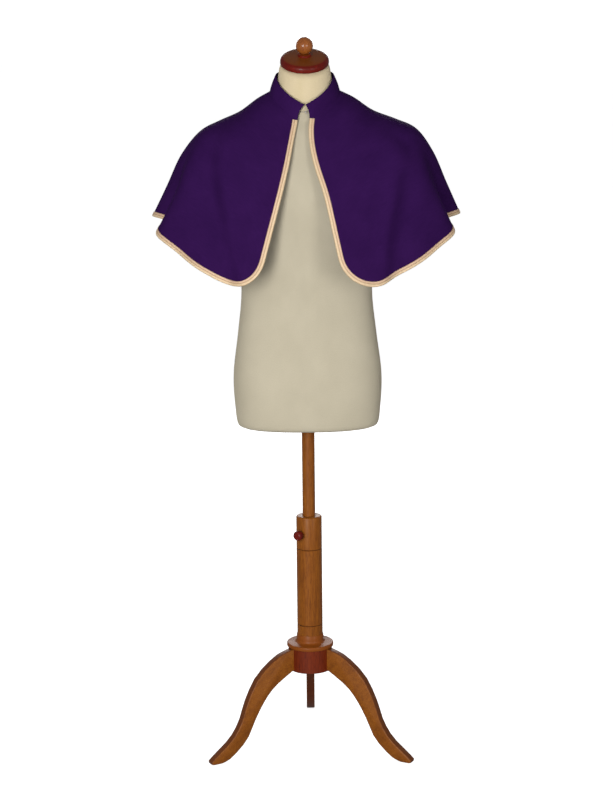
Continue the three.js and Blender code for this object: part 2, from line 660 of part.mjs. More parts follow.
// A leg, cut from a board along its side view and rounded on its edges
function leg() {
  const points = (pairs) => pairs.map(([reach, height]) => new THREE.Vector2(reach, height));
  const top = points(LEG_TOP);
  const underside = points(LEG_UNDERSIDE);
  const tip = new THREE.Vector2(LEG_TIP.reach, LEG_TIP.height);
  const outline = new THREE.Shape();
  outline.moveTo(top[0].x, top[0].y);
  outline.splineThru([...top.slice(1), tip]);
  outline.quadraticCurveTo(LEG_TIP.reach, 0, LEG_SOLE.outer, 0);
  outline.lineTo(LEG_SOLE.inner, 0);
  outline.splineThru(underside);
  outline.closePath();
  const board = new THREE.ExtrudeGeometry(outline, {
    curveSegments: 2,
    depth: LEG_THICKNESS - 2 * LEG_ROUNDING,
    bevelSize: LEG_ROUNDING,
    bevelOffset: -LEG_ROUNDING,
    bevelThickness: LEG_ROUNDING,
    bevelSegments: 2,
  });
  board.translate(0, 0, -LEG_THICKNESS / 2 + LEG_ROUNDING).rotateX(Math.PI / 2);
  board.rotateZ(-Math.PI / 2);
  const root = cylinder(HUB_RADIUS + GAP, HUB_BASE_Z - LEG_THICKNESS, FLANGE_BASE_Z + LEG_THICKNESS);
  return toGeometry(toSolid(board).subtract(toSolid(root)));
}

// The cloth covered form, with a bore in its base for the pole
function dressForm() {
  const azimuths = Array.from({ length: FORM_SEGMENTS }, (_, step) => -180 + 360 * step / FORM_SEGMENTS);
  const neckAxis = new THREE.Vector3(0, -Math.sin(radians(NECK_LEAN)), Math.cos(radians(NECK_LEAN)));
  const capBase = new THREE.Vector3(0, 0, CAP_CENTRE_Z).addScaledVector(neckAxis, -CAP_HALF_THICKNESS - GAP);
  const neckRing = azimuths.map((azimuth) => outwards(azimuth)
    .multiplyScalar(CAP_RADIUS - NECK_TUCK)
    .applyAxisAngle(new THREE.Vector3(1, 0, 0), radians(NECK_LEAN))
    .add(capBase));
  const rings = [...FORM_RINGS.map((ring) => azimuths.map((azimuth) => ringPoint(ring, azimuth))), neckRing];
  const positions = rings.flat().flatMap((point) => point.toArray());
  positions.push(0, 0, FORM_RINGS[0].sideZ, ...capBase.toArray());
  const bottom = positions.length / 3 - 2;
  const top = bottom + 1;
  const index = [];
  for (let step = 0; step < FORM_SEGMENTS; step += 1) {
    const next = (step + 1) % FORM_SEGMENTS;
    for (let level = 0; level < rings.length - 1; level += 1) {
      const low = level * FORM_SEGMENTS;
      const high = low + FORM_SEGMENTS;
      index.push(low + step, low + next, high + next, low + step, high + next, high + step);
    }
    const highest = (rings.length - 1) * FORM_SEGMENTS;
    index.push(bottom, next, step, top, highest + step, highest + next);
  }
  const geometry = new THREE.BufferGeometry();
  geometry.setAttribute('position', new THREE.Float32BufferAttribute(positions, 3));
  geometry.setIndex(index);
  const bore = cylinder(POLE_RADIUS + GAP, FORM_RINGS[0].sideZ - POLE_RADIUS, POLE_TOP_Z - BUST_LIFT + GAP);
  return toGeometry(toSolid(geometry).subtract(toSolid(bore)));
}

function neckCap() {
  const round = 4;
  const low = -CAP_HALF_THICKNESS;
  const high = CAP_HALF_THICKNESS;
  const seat = BALL_HEIGHT - BALL_RADIUS + BALL_SEAT_DEPTH - GAP;
  const pedestalBase = high + CAP_DOME;
  const bead = 2.5; // of the pedestal's rounded rim
  const profile = [
    [0, low],
    ...arcProfile(CAP_RADIUS - round, low + round, round, -90, 0, 3),
    ...arcProfile(CAP_RADIUS - round, high - round, round, 0, 90, 3),
    [CAP_RADIUS * 0.83, high + CAP_DOME * 0.2], [CAP_RADIUS * 0.5, high + CAP_DOME * 0.8],
    [CAP_PEDESTAL_RADIUS, pedestalBase],
    ...arcProfile(CAP_PEDESTAL_RADIUS - bead, pedestalBase + bead, bead, -45, 90, 4),
    [BALL_SEAT_RADIUS, seat], [0, seat],
  ];
  return turned(profile);
}

function finial() {
  const seat = BALL_HEIGHT - BALL_RADIUS + BALL_SEAT_DEPTH;
  const seatTurn = -degrees(Math.acos(BALL_SEAT_RADIUS / BALL_RADIUS));
  const profile = [
    [0, seat],
    ...arcProfile(0, BALL_HEIGHT, BALL_RADIUS, seatTurn, 90, 12),
  ];
  profile.at(-1)[0] = 0;
  return turned(profile, BALL_SEGMENTS);
}

// The assembly
const assembly = new THREE.Group();
assembly.position.y = COLUMN_AXIS_Y;

function addPiece(name, geometry, finish, parent = assembly) {
  const mesh = new THREE.Mesh(geometry, new THREE.MeshStandardMaterial(finishes[finish]));
  mesh.name = name;
  parent.add(mesh);
  return mesh;
}

addPiece('stand_column', column(), 'beech');
addPiece('stand_hub', hub(), 'mahogany');
addPiece('clamp_knob', clampKnob(), 'mahogany');
for (const [name, azimuth] of Object.entries(LEG_AZIMUTHS)) {
  addPiece(name, leg(), 'beech').rotation.z = radians(azimuth);
}

addPiece('pole', cylinder(POLE_RADIUS, POLE_BASE_Z, POLE_TOP_Z), 'beech');
const bust = new THREE.Group();
bust.position.z = BUST_LIFT;
assembly.add(bust);
addPiece('dress_form', dressForm(), 'creamCloth', bust);
const neck = new THREE.Group();
neck.position.z = CAP_CENTRE_Z;
neck.rotation.x = radians(NECK_LEAN);
bust.add(neck);
addPiece('neck_cap', neckCap(), 'mahogany', neck);
addPiece('finial', finial(), 'ballWood', neck);

addPiece('cape_front_left', capePanel(0, LEFT_SEAM), 'purpleCloth', bust);
addPiece('cape_back', capePanel(LEFT_SEAM, RIGHT_SEAM), 'purpleCloth', bust);
addPiece('cape_front_right', capePanel(RIGHT_SEAM, COLUMNS), 'purpleCloth', bust);
addPiece('collar', collar(), 'purpleCloth', bust);
addPiece('edge_braid', edgeBraid(), 'braid', bust);
addPiece('hook', hook(), 'steelWire', bust);
addPiece('eye', eye(), 'steelWire', bust);

export default assembly;
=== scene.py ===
# Altar server cape on its dress form: cloth, braid, sewing, finishes, light and camera.
# Tables of the cloth and of the form are in millimetres and every mesh is made in metres.
# Their heights are measured from 800 mm below the top of the pole that carries the form.
# Left and right are as seen from the front, so that left is towards -X.
import math
from collections import namedtuple

import bpy
import numpy as np
from mathutils import Matrix, Vector


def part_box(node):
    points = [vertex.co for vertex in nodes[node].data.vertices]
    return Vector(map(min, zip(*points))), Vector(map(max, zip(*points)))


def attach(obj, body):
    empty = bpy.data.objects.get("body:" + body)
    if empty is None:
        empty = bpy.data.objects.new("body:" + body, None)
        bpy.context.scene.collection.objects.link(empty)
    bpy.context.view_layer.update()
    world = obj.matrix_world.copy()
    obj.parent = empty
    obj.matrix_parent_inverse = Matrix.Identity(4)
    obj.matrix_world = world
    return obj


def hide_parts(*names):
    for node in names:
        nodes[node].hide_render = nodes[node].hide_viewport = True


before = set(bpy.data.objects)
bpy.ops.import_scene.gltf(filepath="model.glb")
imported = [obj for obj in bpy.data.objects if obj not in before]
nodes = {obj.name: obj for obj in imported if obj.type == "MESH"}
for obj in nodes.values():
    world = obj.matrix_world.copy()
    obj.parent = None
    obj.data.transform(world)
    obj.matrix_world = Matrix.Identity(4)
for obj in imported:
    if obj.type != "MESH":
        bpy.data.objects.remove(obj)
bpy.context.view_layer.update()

MM = 0.001
pole_low, pole_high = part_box("pole")
TABLE_POLE_TOP = 0.8
AXIS = (pole_low + pole_high) / 2
AXIS.z = pole_high.z - TABLE_POLE_TOP
LEFT, RIGHT = -1, 1


# The cloth, with the sizes that its solids have
CLOTH = 1.6
COLLAR_CLOTH = 2.0
BRAID_WIDTH = 12
CORNER_RADIUS = 96
SEAM_AZIMUTH = 89
SEAM_OVERLAP = 0.02

RING_COLUMNS = "half_width shift front back square front_z side_z back_z law edge_left edge_right"
Ring = namedtuple("Ring", RING_COLUMNS, defaults=(0, 0))
CAPE_RINGS = [Ring(*row) for row in [
    (83, 0, 75, 70, 2.0, 1480, 1543, 1566, 0.8, 17, 11),
    (114, 2, 83, 82, 2.0, 1462, 1528, 1553, 0.7, 20.5, 8.5),
    (157, 3, 95, 98, 2.1, 1437, 1498, 1532, 0.5, 26.5, 8.5),
    (208, 6, 108, 113, 2.2, 1406, 1477, 1506, 0.3, 33.5, 12.5),
    (250, 8, 121, 127, 2.3, 1372, 1456, 1472, 0.15, 41, 20),
    (295, 6, 143, 147, 2.35, 1304, 1400, 1400, 0, 57, 40.5),
]]
COLLAR_TOP = Ring(68.5, 0, 74, 66, 2.0, 1516, 1583, 1604, 0.8, 1.6, 1.9)
COLLAR_ROUNDNESS = 1.5

HEM_CORNER = {LEFT: 31.4, RIGHT: 25}
CORNER_LIFT = {LEFT: -4, RIGHT: 13}
CORNER_LIFT_WIDTH = 15
HEM_AZIMUTH = [18, 30, 51, 66, 80, 90, 100, 115, 132, 155, 180]
HEM_REACH = [210, 230, 262, 299, 352, 370, 372, 332, 270, 212, 193]
HEM_HEIGHT = [1057, 1077, 1118, 1157, 1212, 1240, 1248, 1224, 1188, 1158, 1147]
SEAM_DIP = {LEFT: 8, RIGHT: 0}
SEAM_DIP_WIDTH = 22
HEM_HALF_WIDTH = 370
HEM_HALF_DEPTH = 198

# Azimuth at the fold's top and at the hem, half width in degrees, depth at the hem
# (outwards is positive) and the share of the way down where it starts
Fold = namedtuple("Fold", "top hem width depth start")
FOLD_GROWTH = 1.25
MAIN_FOLDS = [Fold(*row) for row in [
    (-58, -46, 6, -10, 0.55),
    (-66, -62, 7, 5, 0.6),
    (-78, -80, 5, 7, 0.4),
    (-87, -90, 5.5, -40, 0.42),
    (-98, -100, 6, 5, 0.4),
    (-118, -121, 8, -16, 0.45),
    (-138, -140, 9, 8, 0.5),
    (-164, -161, 8, -12, 0.4),
    (62, 53, 6, -8, 0.6),
    (70, 67, 6, 4, 0.65),
    (78, 79, 5, 6.5, 0.36),
    (86, 89, 5.5, -38, 0.38),
    (97, 99, 6, 4, 0.4),
    (122, 126, 9, -14, 0.42),
    (146, 145, 8, 8, 0.5),
    (169, 166, 7, -10, 0.48),
]]

# Small creases that the solids leave out, uneven in place, length and depth
CREASES = [Fold(*row) for row in [
    (-44, -37, 3.0, 1.6, 0.5),
    (-52, -53, 2.4, 1.8, 0.62),
    (-71, -71, 2.6, -1.0, 0.58),
    (-106, -109, 2.6, 2.4, 0.6),
    (-129, -131, 2.8, -2.2, 0.55),
    (-150, -151, 3.0, 2.0, 0.66),
    (-172, -173, 2.6, 2.2, 0.6),
    (40, 35, 3.0, 1.4, 0.55),
    (58, 46, 2.6, 1.0, 0.6),
    (72, 73, 2.6, -0.8, 0.62),
    (106, 108, 2.4, 2.2, 0.58),
    (113, 117, 2.8, -1.8, 0.66),
    (134, 136, 2.6, 2.0, 0.6),
    (157, 156, 2.8, -2.0, 0.62),
    (176, 177, 2.4, -1.6, 0.7),
]]
FOLDS = MAIN_FOLDS + CREASES

# Soft hollows and swells in the middle of the cloth, which fade before the hem. lean is how
# many degrees the middle moves for a whole share of the way down
Hollow = namedtuple("Hollow", "azimuth share width reach depth lean")
HOLLOWS = [Hollow(*row) for row in [
    (-80, 0.62, 5, 0.22, 3, 30),
    (-68.5, 0.62, 7, 0.28, -11, 50),
    (-57.5, 0.64, 5.5, 0.28, 9, 50),
    (-63.5, 0.26, 10, 0.12, -4, 20),
    (-30, 0.10, 7, 0.08, -2, 0),
    (57.5, 0.69, 4.5, 0.26, 6, -44),
    (67.5, 0.69, 5.5, 0.28, -8, -44),
    (72.5, 0.60, 4.5, 0.24, 4.5, 0),
    (81.5, 0.60, 4.5, 0.26, -5, 10),
    (67, 0.24, 9, 0.11, -3.5, 10),
    (-88, 0.42, 24, 0.30, 2.6, 0),
    (88, 0.42, 24, 0.30, 2.6, 0),
    (-101, 0.62, 5, 0.20, 5, -10),
    (-111, 0.60, 5.5, 0.22, -7, -12),
    (-133, 0.55, 7, 0.20, 5, -8),
    (-149, 0.60, 6, 0.22, -6, 0),
    (-177, 0.50, 8, 0.20, 4.5, 4),
    (104, 0.60, 5.5, 0.20, 4.5, 12),
    (115, 0.62, 5.5, 0.20, -7.5, 10),
    (136, 0.56, 7, 0.22, 5, 6),
    (154, 0.58, 6.5, 0.20, -5.5, 2),
]]

# The form under it
FORM_RINGS = [Ring(*row) for row in [
    (160, 0, 92, 100, 2.3, 740, 740, 740, -1),
    (170, 0, 102, 110, 2.3, 746, 746, 746, -1),
    (177, 0, 108, 117, 2.3, 790, 790, 790, -1),
    (180, 0, 110, 120, 2.3, 870, 870, 870, -1),
    (168, 0, 104, 108, 2.3, 970, 970, 970, -1),
    (158, 0, 100, 100, 2.3, 1070, 1070, 1070, -1),
    (164, 0, 107, 103, 2.35, 1170, 1170, 1170, -1),
    (177, 0, 114, 109, 2.4, 1260, 1270, 1270, -1),
    (190, 0, 112, 113, 2.5, 1320, 1350, 1345, -1),
    (198, 0, 103, 111, 2.5, 1370, 1430, 1420, 0),
    (199, 0, 97, 105, 2.5, 1392, 1462, 1460, 0),
    (190, 0, 92, 98, 2.35, 1412, 1478.6, 1487, 0.1),
    (152, 0, 84, 87, 2.15, 1438, 1494.6, 1520, 0.4),
    (109, 0, 75, 75, 2.0, 1460, 1524, 1543, 0.6),
    (82, 0, 69, 66, 2.0, 1476, 1536, 1558, 0.4),
    (74, 0, 67, 63, 2.0, 1497, 1549, 1574, 0),
    (65, 0, 60, 60, 2.0, 1540, 1574, 1602, -0.7),
    (60, 0, 54, 59, 2.0, 1576, 1599, 1625, -1),
]]
FORM_EASE = 1.0
NECK_RADIUS = 56.4
NECK_LEAN = 23.5
NECK_TOP_Z = 1607
BORE_RADIUS = 16.2
BORE_TOP_Z = 800.3


# Surfaces of the cloth and of the form, worked out for whole arrays of places at once
def climb(law, turn):
    saddle = np.sin(turn) ** 2
    if law >= 0:
        return saddle * (1 - law) + turn / (math.pi / 2) * law
    return saddle * (1 + law) - (1 - np.cos(turn)) * law


def ring_points(ring, azimuth):
    across = np.sin(np.radians(azimuth))
    ahead = np.cos(np.radians(azimuth))
    in_front = ahead > 0
    depth = np.where(in_front, ring.front, ring.back)
    total = (abs(across) / ring.half_width) ** ring.square + (abs(ahead) / depth) ** ring.square
    reach = total ** (-1 / ring.square)
    turn = np.radians(np.where(in_front, abs(azimuth), 180 - abs(azimuth)))
    middle_z = np.where(in_front, ring.front_z, ring.back_z)
    height = middle_z + (ring.side_z - middle_z) * climb(ring.law, turn)
    return np.stack([reach * across + ring.shift * abs(across), -reach * ahead, height], -1)


def table_value(places, values, position):
    """A smooth curve through a table, level at its last row."""
    x = np.array(places, float)
    y = np.array(values, float)
    slope = np.zeros(len(x))
    slope[0] = (y[1] - y[0]) / (x[1] - x[0])
    slope[1:-1] = (y[2:] - y[:-2]) / (x[2:] - x[:-2])
    place = np.clip(position, x[0], x[-1])
    high = np.clip(np.searchsorted(x, place), 1, len(x) - 1)
    low = high - 1
    span = x[high] - x[low]
    t = (place - x[low]) / span
    bend = (y[low] - y[high]) * (2 * t - 3) * t * t + y[low]
    return bend + span * t * (t - 1) * ((t - 1) * slope[low] + t * slope[high])


def by_side(azimuth, values):
    return np.where(azimuth < 0, values[LEFT], values[RIGHT])


def hem_points(azimuth):
    turn = abs(azimuth)
    fade = np.exp(-(((turn - by_side(azimuth, HEM_CORNER)) / CORNER_LIFT_WIDTH) ** 2))
    reach = table_value(HEM_AZIMUTH, HEM_REACH, turn)
    height = table_value(HEM_AZIMUTH, HEM_HEIGHT, turn) + by_side(azimuth, CORNER_LIFT) * fade
    across = np.sin(np.radians(azimuth))
    ahead = np.cos(np.radians(azimuth))
    return np.stack([reach * across, -reach * ahead, height], -1)


def share_round(azimuth):
    corner = by_side(azimuth, HEM_CORNER)
    return (abs(azimuth) - corner) / (180 - corner)


def edge_azimuth(ring, azimuth):
    offset = by_side(azimuth, {LEFT: ring.edge_left, RIGHT: ring.edge_right})
    return np.degrees(np.arctan2(offset, ring.front))


def ring_azimuth(ring, azimuth):
    edge = edge_azimuth(ring, azimuth)
    return np.where(azimuth < 0, -1, 1) * (edge + (180 - edge) * share_round(azimuth))


def rib_controls(azimuth):
    rings = [ring_points(ring, ring_azimuth(ring, azimuth)) for ring in CAPE_RINGS]
    hem = hem_points(azimuth)
    return np.stack([*rings, (rings[-1] + hem) / 2, hem], 1)


def spline(controls, t):
    """Centripetal curves through rows of control points, each at its own row of t."""
    segments = controls.shape[1] - 1
    first = 2 * controls[:, :1] - controls[:, 1:2]
    last = 2 * controls[:, -1:] - controls[:, -2:-1]
    points = np.concatenate([first, controls, last], 1)
    index = np.clip((t * segments).astype(int), 0, segments - 1)
    rest = (t * segments - index)[..., None]
    before, start, end, after = (
        np.take_along_axis(points, (index + k)[..., None], 1) for k in range(4)
    )
    step = [np.linalg.norm(b - a, axis=-1, keepdims=True) ** 0.5 + 1e-9
            for a, b in ((before, start), (start, end), (end, after))]
    leave = (start - before) / step[0] - (end - before) / (step[0] + step[1])
    arrive = (end - start) / step[1] - (after - start) / (step[1] + step[2])
    leave = leave * step[1] + end - start
    arrive = arrive * step[1] + (after - end) / step[2] * step[1]
    bend = 3 * (end - start) - 2 * leave - arrive
    twist = 2 * (start - end) + leave + arrive
    return start + leave * rest + bend * rest ** 2 + twist * rest ** 3


RIB_SAMPLES = 57


def rib_lengths(azimuth):
    """Running length of each rib at evenly spaced parameters."""
    controls = rib_controls(azimuth)
    t = np.broadcast_to(np.linspace(0, 1, RIB_SAMPLES), (len(azimuth), RIB_SAMPLES))
    steps = np.linalg.norm(np.diff(spline(controls, t), axis=1), axis=2)
    return controls, np.concatenate([np.zeros((len(azimuth), 1)), np.cumsum(steps, 1)], 1)


def rib_length(azimuth):
    flat = np.ravel(azimuth).astype(float)
    return rib_lengths(flat)[1][:, -1].reshape(np.shape(azimuth))


def fold_depth(azimuth, share):
    depth = np.zeros_like(share)
    for fold in FOLDS:
        grown = np.clip((share - fold.start) / (1 - fold.start), 0, 1)
        middle = fold.top + (fold.hem - fold.top) * grown
        away = (azimuth - middle + 180) % 360 - 180
        depth += fold.depth * grown ** FOLD_GROWTH * np.exp(-((away / fold.width) ** 2))
    for hollow in HOLLOWS:
        below = share - hollow.share
        away = (azimuth - hollow.azimuth - hollow.lean * below + 180) % 360 - 180
        fade = (away / hollow.width) ** 2 + (below / hollow.reach) ** 2
        depth += hollow.depth * np.exp(-fade)
    return depth


BATCH = 4000


def cape_points(azimuth, share):
    """Points of the cape's outer face; share runs from the neck seam, 0, to the hem, 1."""
    azimuth, share = np.broadcast_arrays(np.asarray(azimuth, float), np.asarray(share, float))
    shape = azimuth.shape
    azimuth, share = azimuth.ravel(), np.clip(share.ravel(), 0, 1)
    result = np.empty((len(azimuth), 3))
    for start in range(0, len(azimuth), BATCH):
        part = slice(start, start + BATCH)
        controls, run = rib_lengths(azimuth[part])
        wanted = share[part] * run[:, -1]
        after = np.clip((run < wanted[:, None]).sum(1), 1, RIB_SAMPLES - 1)
        rows = np.arange(len(after))
        span = run[rows, after] - run[rows, after - 1]
        t = (after - 1 + (wanted - run[rows, after - 1]) / span) / (RIB_SAMPLES - 1)
        result[part] = spline(controls, t[:, None])[:, 0]
    hem = hem_points(azimuth)
    outward = np.stack([hem[:, 0] / HEM_HALF_WIDTH ** 2, hem[:, 1] / HEM_HALF_DEPTH ** 2], -1)
    outward /= np.linalg.norm(outward, axis=1, keepdims=True)
    result[:, :2] += outward * fold_depth(azimuth, share)[:, None]
    return result.reshape(*shape, 3)


def unit(vectors):
    return vectors / np.linalg.norm(vectors, axis=-1, keepdims=True)


TURN_STEP = 0.1
SHARE_STEP = 0.002


def slopes(surface, azimuth, share):
    """How a surface runs with azimuth and with share, and its outward normal."""
    ahead = np.clip(azimuth + TURN_STEP, -180, 180)
    behind = np.clip(azimuth - TURN_STEP, -180, 180)
    below, above = np.clip(share + SHARE_STEP, 0, 1), np.clip(share - SHARE_STEP, 0, 1)
    along = (surface(ahead, share) - surface(behind, share)) / (ahead - behind)[..., None]
    down = (surface(azimuth, below) - surface(azimuth, above)) / (below - above)[..., None]
    return along, down, unit(np.cross(down, along))


def seam_share(azimuth):
    """Share at which the neck seam lies: it dips a little at the left front edge."""
    away = (abs(azimuth) - by_side(azimuth, HEM_CORNER)) / SEAM_DIP_WIDTH
    return by_side(azimuth, SEAM_DIP) * np.exp(-(away ** 2)) / rib_length(azimuth)


def collar_points(azimuth, down):
    """Points of the collar's outer face; down runs from its top, 0, to the neck seam, 1."""
    top_edge = edge_azimuth(COLLAR_TOP, azimuth)
    edge = top_edge + (edge_azimuth(CAPE_RINGS[0], azimuth) - top_edge) * down
    turn = np.where(azimuth < 0, -1, 1) * (edge + (180 - edge) * share_round(azimuth))
    top = ring_points(COLLAR_TOP, turn)
    points = top + (cape_points(azimuth, seam_share(azimuth)) - top) * down[..., None]
    swell = COLLAR_ROUNDNESS * np.sin(math.pi * down)
    points[..., 0] += swell * np.sin(np.radians(turn))
    points[..., 1] -= swell * np.cos(np.radians(turn))
    return points


HEM_TURNS = 300


def running_length(points):
    """Length along a row of points, up to each of them."""
    steps = np.linalg.norm(np.diff(points, axis=0), axis=1)
    return np.concatenate([[0], np.cumsum(steps)])


def hem_azimuth(side, distance):
    """Azimuth of the rib that meets the hem at a distance from the front corner."""
    turns = np.linspace(HEM_CORNER[side], 180, HEM_TURNS)
    return side * np.interp(distance, running_length(hem_points(side * turns)), turns)


def round_corner(turn):
    """Distances from the front edge and from the hem along the round corner."""
    angle = np.radians(turn)
    return CORNER_RADIUS * np.stack([1 - np.cos(angle), 1 - np.sin(angle)], -1)


# The cape as a net of places, finer than the solids' own
CORNER_STEPS = 14
UPPER_ROWS = 44
FRONT_RIBS = 46
BACK_RIBS = 64
LAST_ROW = UPPER_ROWS + CORNER_STEPS
SEAM_COLUMN = CORNER_STEPS + FRONT_RIBS


def side_net(side):
    """Azimuths and shares of one side, from the front edge to the middle of the back."""
    radius = CORNER_RADIUS
    steps = np.linspace(0, 1, CORNER_STEPS + 1)
    across, down = steps[:, None, None], steps[None, :, None]
    arc_start, arc_middle, arc_end = round_corner(np.array([0.0, 45.0, 90.0]))
    inner = np.array([radius, radius])
    left = round_corner(45 * down[..., 0])
    bottom = round_corner(45 + 45 * across[..., 0])
    top = across * np.array([radius, 0]) + np.array([0, radius])
    right = down * np.array([0, -radius]) + inner
    corner = (1 - across) * left + across * right + (1 - down) * top + down * bottom
    corner -= (1 - across) * (1 - down) * arc_start + across * (1 - down) * inner
    corner -= (1 - across) * down * arc_middle + across * down * arc_end
    fan_start = abs(hem_azimuth(side, radius))
    turns = np.concatenate([
        abs(hem_azimuth(side, radius * steps)),
        np.linspace(fan_start, SEAM_AZIMUTH, FRONT_RIBS + 1)[1:],
        np.linspace(SEAM_AZIMUTH, 180, BACK_RIBS + 1)[1:],
    ])
    azimuth = np.repeat(side * turns[:, None], LAST_ROW + 1, 1)
    length = rib_length(side * turns)[:, None]
    start = seam_share(side * turns)[:, None]
    upper = start + (1 - radius / length - start) * np.linspace(0, 1, UPPER_ROWS + 1)
    lower = 1 - radius * (1 - steps[1:]) / length
    share = np.concatenate([upper, lower], 1)
    columns, rows = slice(0, CORNER_STEPS + 1), slice(UPPER_ROWS, None)
    azimuth[columns, rows] = hem_azimuth(side, corner[..., 0])
    share[columns, rows] = 1 - corner[..., 1] / rib_length(azimuth[columns, rows])
    return azimuth, share


# The flat cut is a part of a ring: a half cape fans out by this angle from a neck of
# this radius, and the threads run straight in it
FAN = 108
PATTERN_NECK_RADIUS = 122


def pattern_places(azimuth, share):
    """Where a place of the cape lies in the flat cut, in millimetres."""
    turn = np.radians(FAN * (1 - share_round(azimuth))) * np.where(azimuth < 0, -1, 1)
    radius = PATTERN_NECK_RADIUS + share * rib_length(azimuth)
    return np.stack([radius * np.sin(turn), -radius * np.cos(turn)], -1)


# Meshes
def add_object(name, data):
    made = bpy.data.objects.new(name, data)
    bpy.context.scene.collection.objects.link(made)
    return made


def make_object(name, points, faces, uv=None):
    """A mesh object from points in millimetres about the column's axis."""
    mesh = bpy.data.meshes.new(name)
    placed = np.asarray(points, float).reshape(-1, 3) * MM + np.array(AXIS)
    mesh.from_pydata(placed.tolist(), [], [list(map(int, face)) for face in faces])
    if uv is not None:
        flat = np.asarray(uv, float).reshape(-1, 2) * MM
        layer = mesh.uv_layers.new(name="cut")
        corners = np.empty(len(mesh.loops), np.int32)
        mesh.loops.foreach_get("vertex_index", corners)
        layer.data.foreach_set("uv", flat[corners].ravel())
    mesh.polygons.foreach_set("use_smooth", [True] * len(mesh.polygons))
    mesh.validate()
    return add_object(name, mesh)


def numbered(net):
    """The numbers of a net's points, as a grid."""
    return np.arange(net[..., 0].size).reshape(net.shape[:2])


def quads(number, closed=()):
    """Faces over a grid of point numbers, which meets itself along the closed axes."""
    for axis in closed:
        number = np.concatenate([number, number.take([0], axis)], axis)
    corners = [number[:-1, :-1], number[1:, :-1], number[1:, 1:], number[:-1, 1:]]
    return np.stack(corners, -1).reshape(-1, 4).tolist()


RIM_BULGE = 0.3


def shell(name, points, normals, places, thickness):
    """A closed sheet with rounded rims over a net of points with outward normals."""
    columns, rows = points.shape[:2]
    inner = points - thickness * normals
    number = numbered(points)
    under = number + columns * rows
    faces = quads(number) + [face[::-1] for face in quads(under)]
    border = [(c, 0) for c in range(columns)] + [(columns - 1, r) for r in range(1, rows)]
    border += [(c, rows - 1) for c in range(columns - 2, -1, -1)]
    border += [(0, r) for r in range(rows - 2, 0, -1)]
    rim = []
    for c, r in border:
        inside = points[min(max(c, 1), columns - 2), min(max(r, 1), rows - 2)]
        out = points[c, r] - inside
        out = unit(out - normals[c, r] * out.dot(normals[c, r]))
        rim.append((points[c, r] + inner[c, r]) / 2 + out * thickness * RIM_BULGE)
    first = 2 * columns * rows
    for k, (c, r) in enumerate(border):
        nc, nr = border[(k + 1) % len(border)]
        here, following = first + k, first + (k + 1) % len(border)
        faces.append([number[nc, nr], number[c, r], here, following])
        faces.append([following, here, under[c, r], under[nc, nr]])
    every = np.concatenate([points.reshape(-1, 3), inner.reshape(-1, 3), np.array(rim)])
    rim_uv = np.array([places[c, r] for c, r in border])
    uv = np.concatenate([places.reshape(-1, 2), places.reshape(-1, 2), rim_uv])
    made = make_object(name, every, faces, uv)
    on_border = np.zeros(len(every), bool)
    for c, r in border:
        on_border[[number[c, r], under[c, r]]] = True
    ends = np.empty(2 * len(made.data.edges), np.int32)
    made.data.edges.foreach_get("vertices", ends)
    sharp = made.data.attributes.new("sharp_edge", "BOOLEAN", "EDGE")
    sharp.data.foreach_set("value", on_border[ends.reshape(-1, 2)].all(1))
    return made


def joined_sides():
    """The whole net, from the left front edge round the back to the right front edge."""
    left_azimuth, left_share = side_net(LEFT)
    right_azimuth, right_share = side_net(RIGHT)
    azimuth = np.concatenate([left_azimuth, right_azimuth[-2::-1]])
    share = np.concatenate([left_share, right_share[-2::-1]])
    return azimuth, share


def make_cape():
    azimuth, share = joined_sides()
    points = cape_points(azimuth, share)
    normals = slopes(cape_points, azimuth, share)[2]
    places = pattern_places(azimuth, share)
    right_seam = len(azimuth) - 1 - SEAM_COLUMN
    spans = {
        "cape_front_left": (0, SEAM_COLUMN),
        "cape_back": (SEAM_COLUMN, right_seam),
        "cape_front_right": (right_seam, len(azimuth) - 1),
    }
    made = {}
    for name, (first, last) in spans.items():
        span = slice(first, last + 1)
        panel = points[span].copy()
        for edge, step in ((0, 1), (-1, -1)):
            if (first, last)[edge] in (SEAM_COLUMN, right_seam):
                inwards = unit(panel[edge + step] - panel[edge])
                panel[edge] += inwards * (CLOTH * RIM_BULGE - SEAM_OVERLAP)
        made[name] = shell(name + "_cloth", panel, normals[span], places[span], CLOTH)
    return made


COLLAR_COLUMNS = 90
COLLAR_ROWS = 14


def make_collar():
    left, right = (
        side * np.linspace(HEM_CORNER[side], 180, COLLAR_COLUMNS + 1) for side in (LEFT, RIGHT)
    )
    azimuth = np.concatenate([left, right[-2::-1]])
    down = np.linspace(0, 1, COLLAR_ROWS + 1)
    azimuth, down = np.meshgrid(azimuth, down, indexing="ij")
    points = collar_points(azimuth, down)
    normals = slopes(collar_points, azimuth, down)[2]
    along = running_length(points[:, -1])[:, None] * np.ones_like(down)
    height = np.linalg.norm(points[0, 0] - points[0, -1])
    places = np.stack([along, -down * height], -1)
    return shell("collar_cloth", points, normals, places, COLLAR_CLOTH)


# The braid: stations along the edge, each marched inwards over the cloth
BRAID_PITCH = 0.8
BRAID_STEPS = 14
CORNER_SAMPLES = 200
FRONT_EDGE_SAMPLES = 600
HEM_SAMPLES = 3000


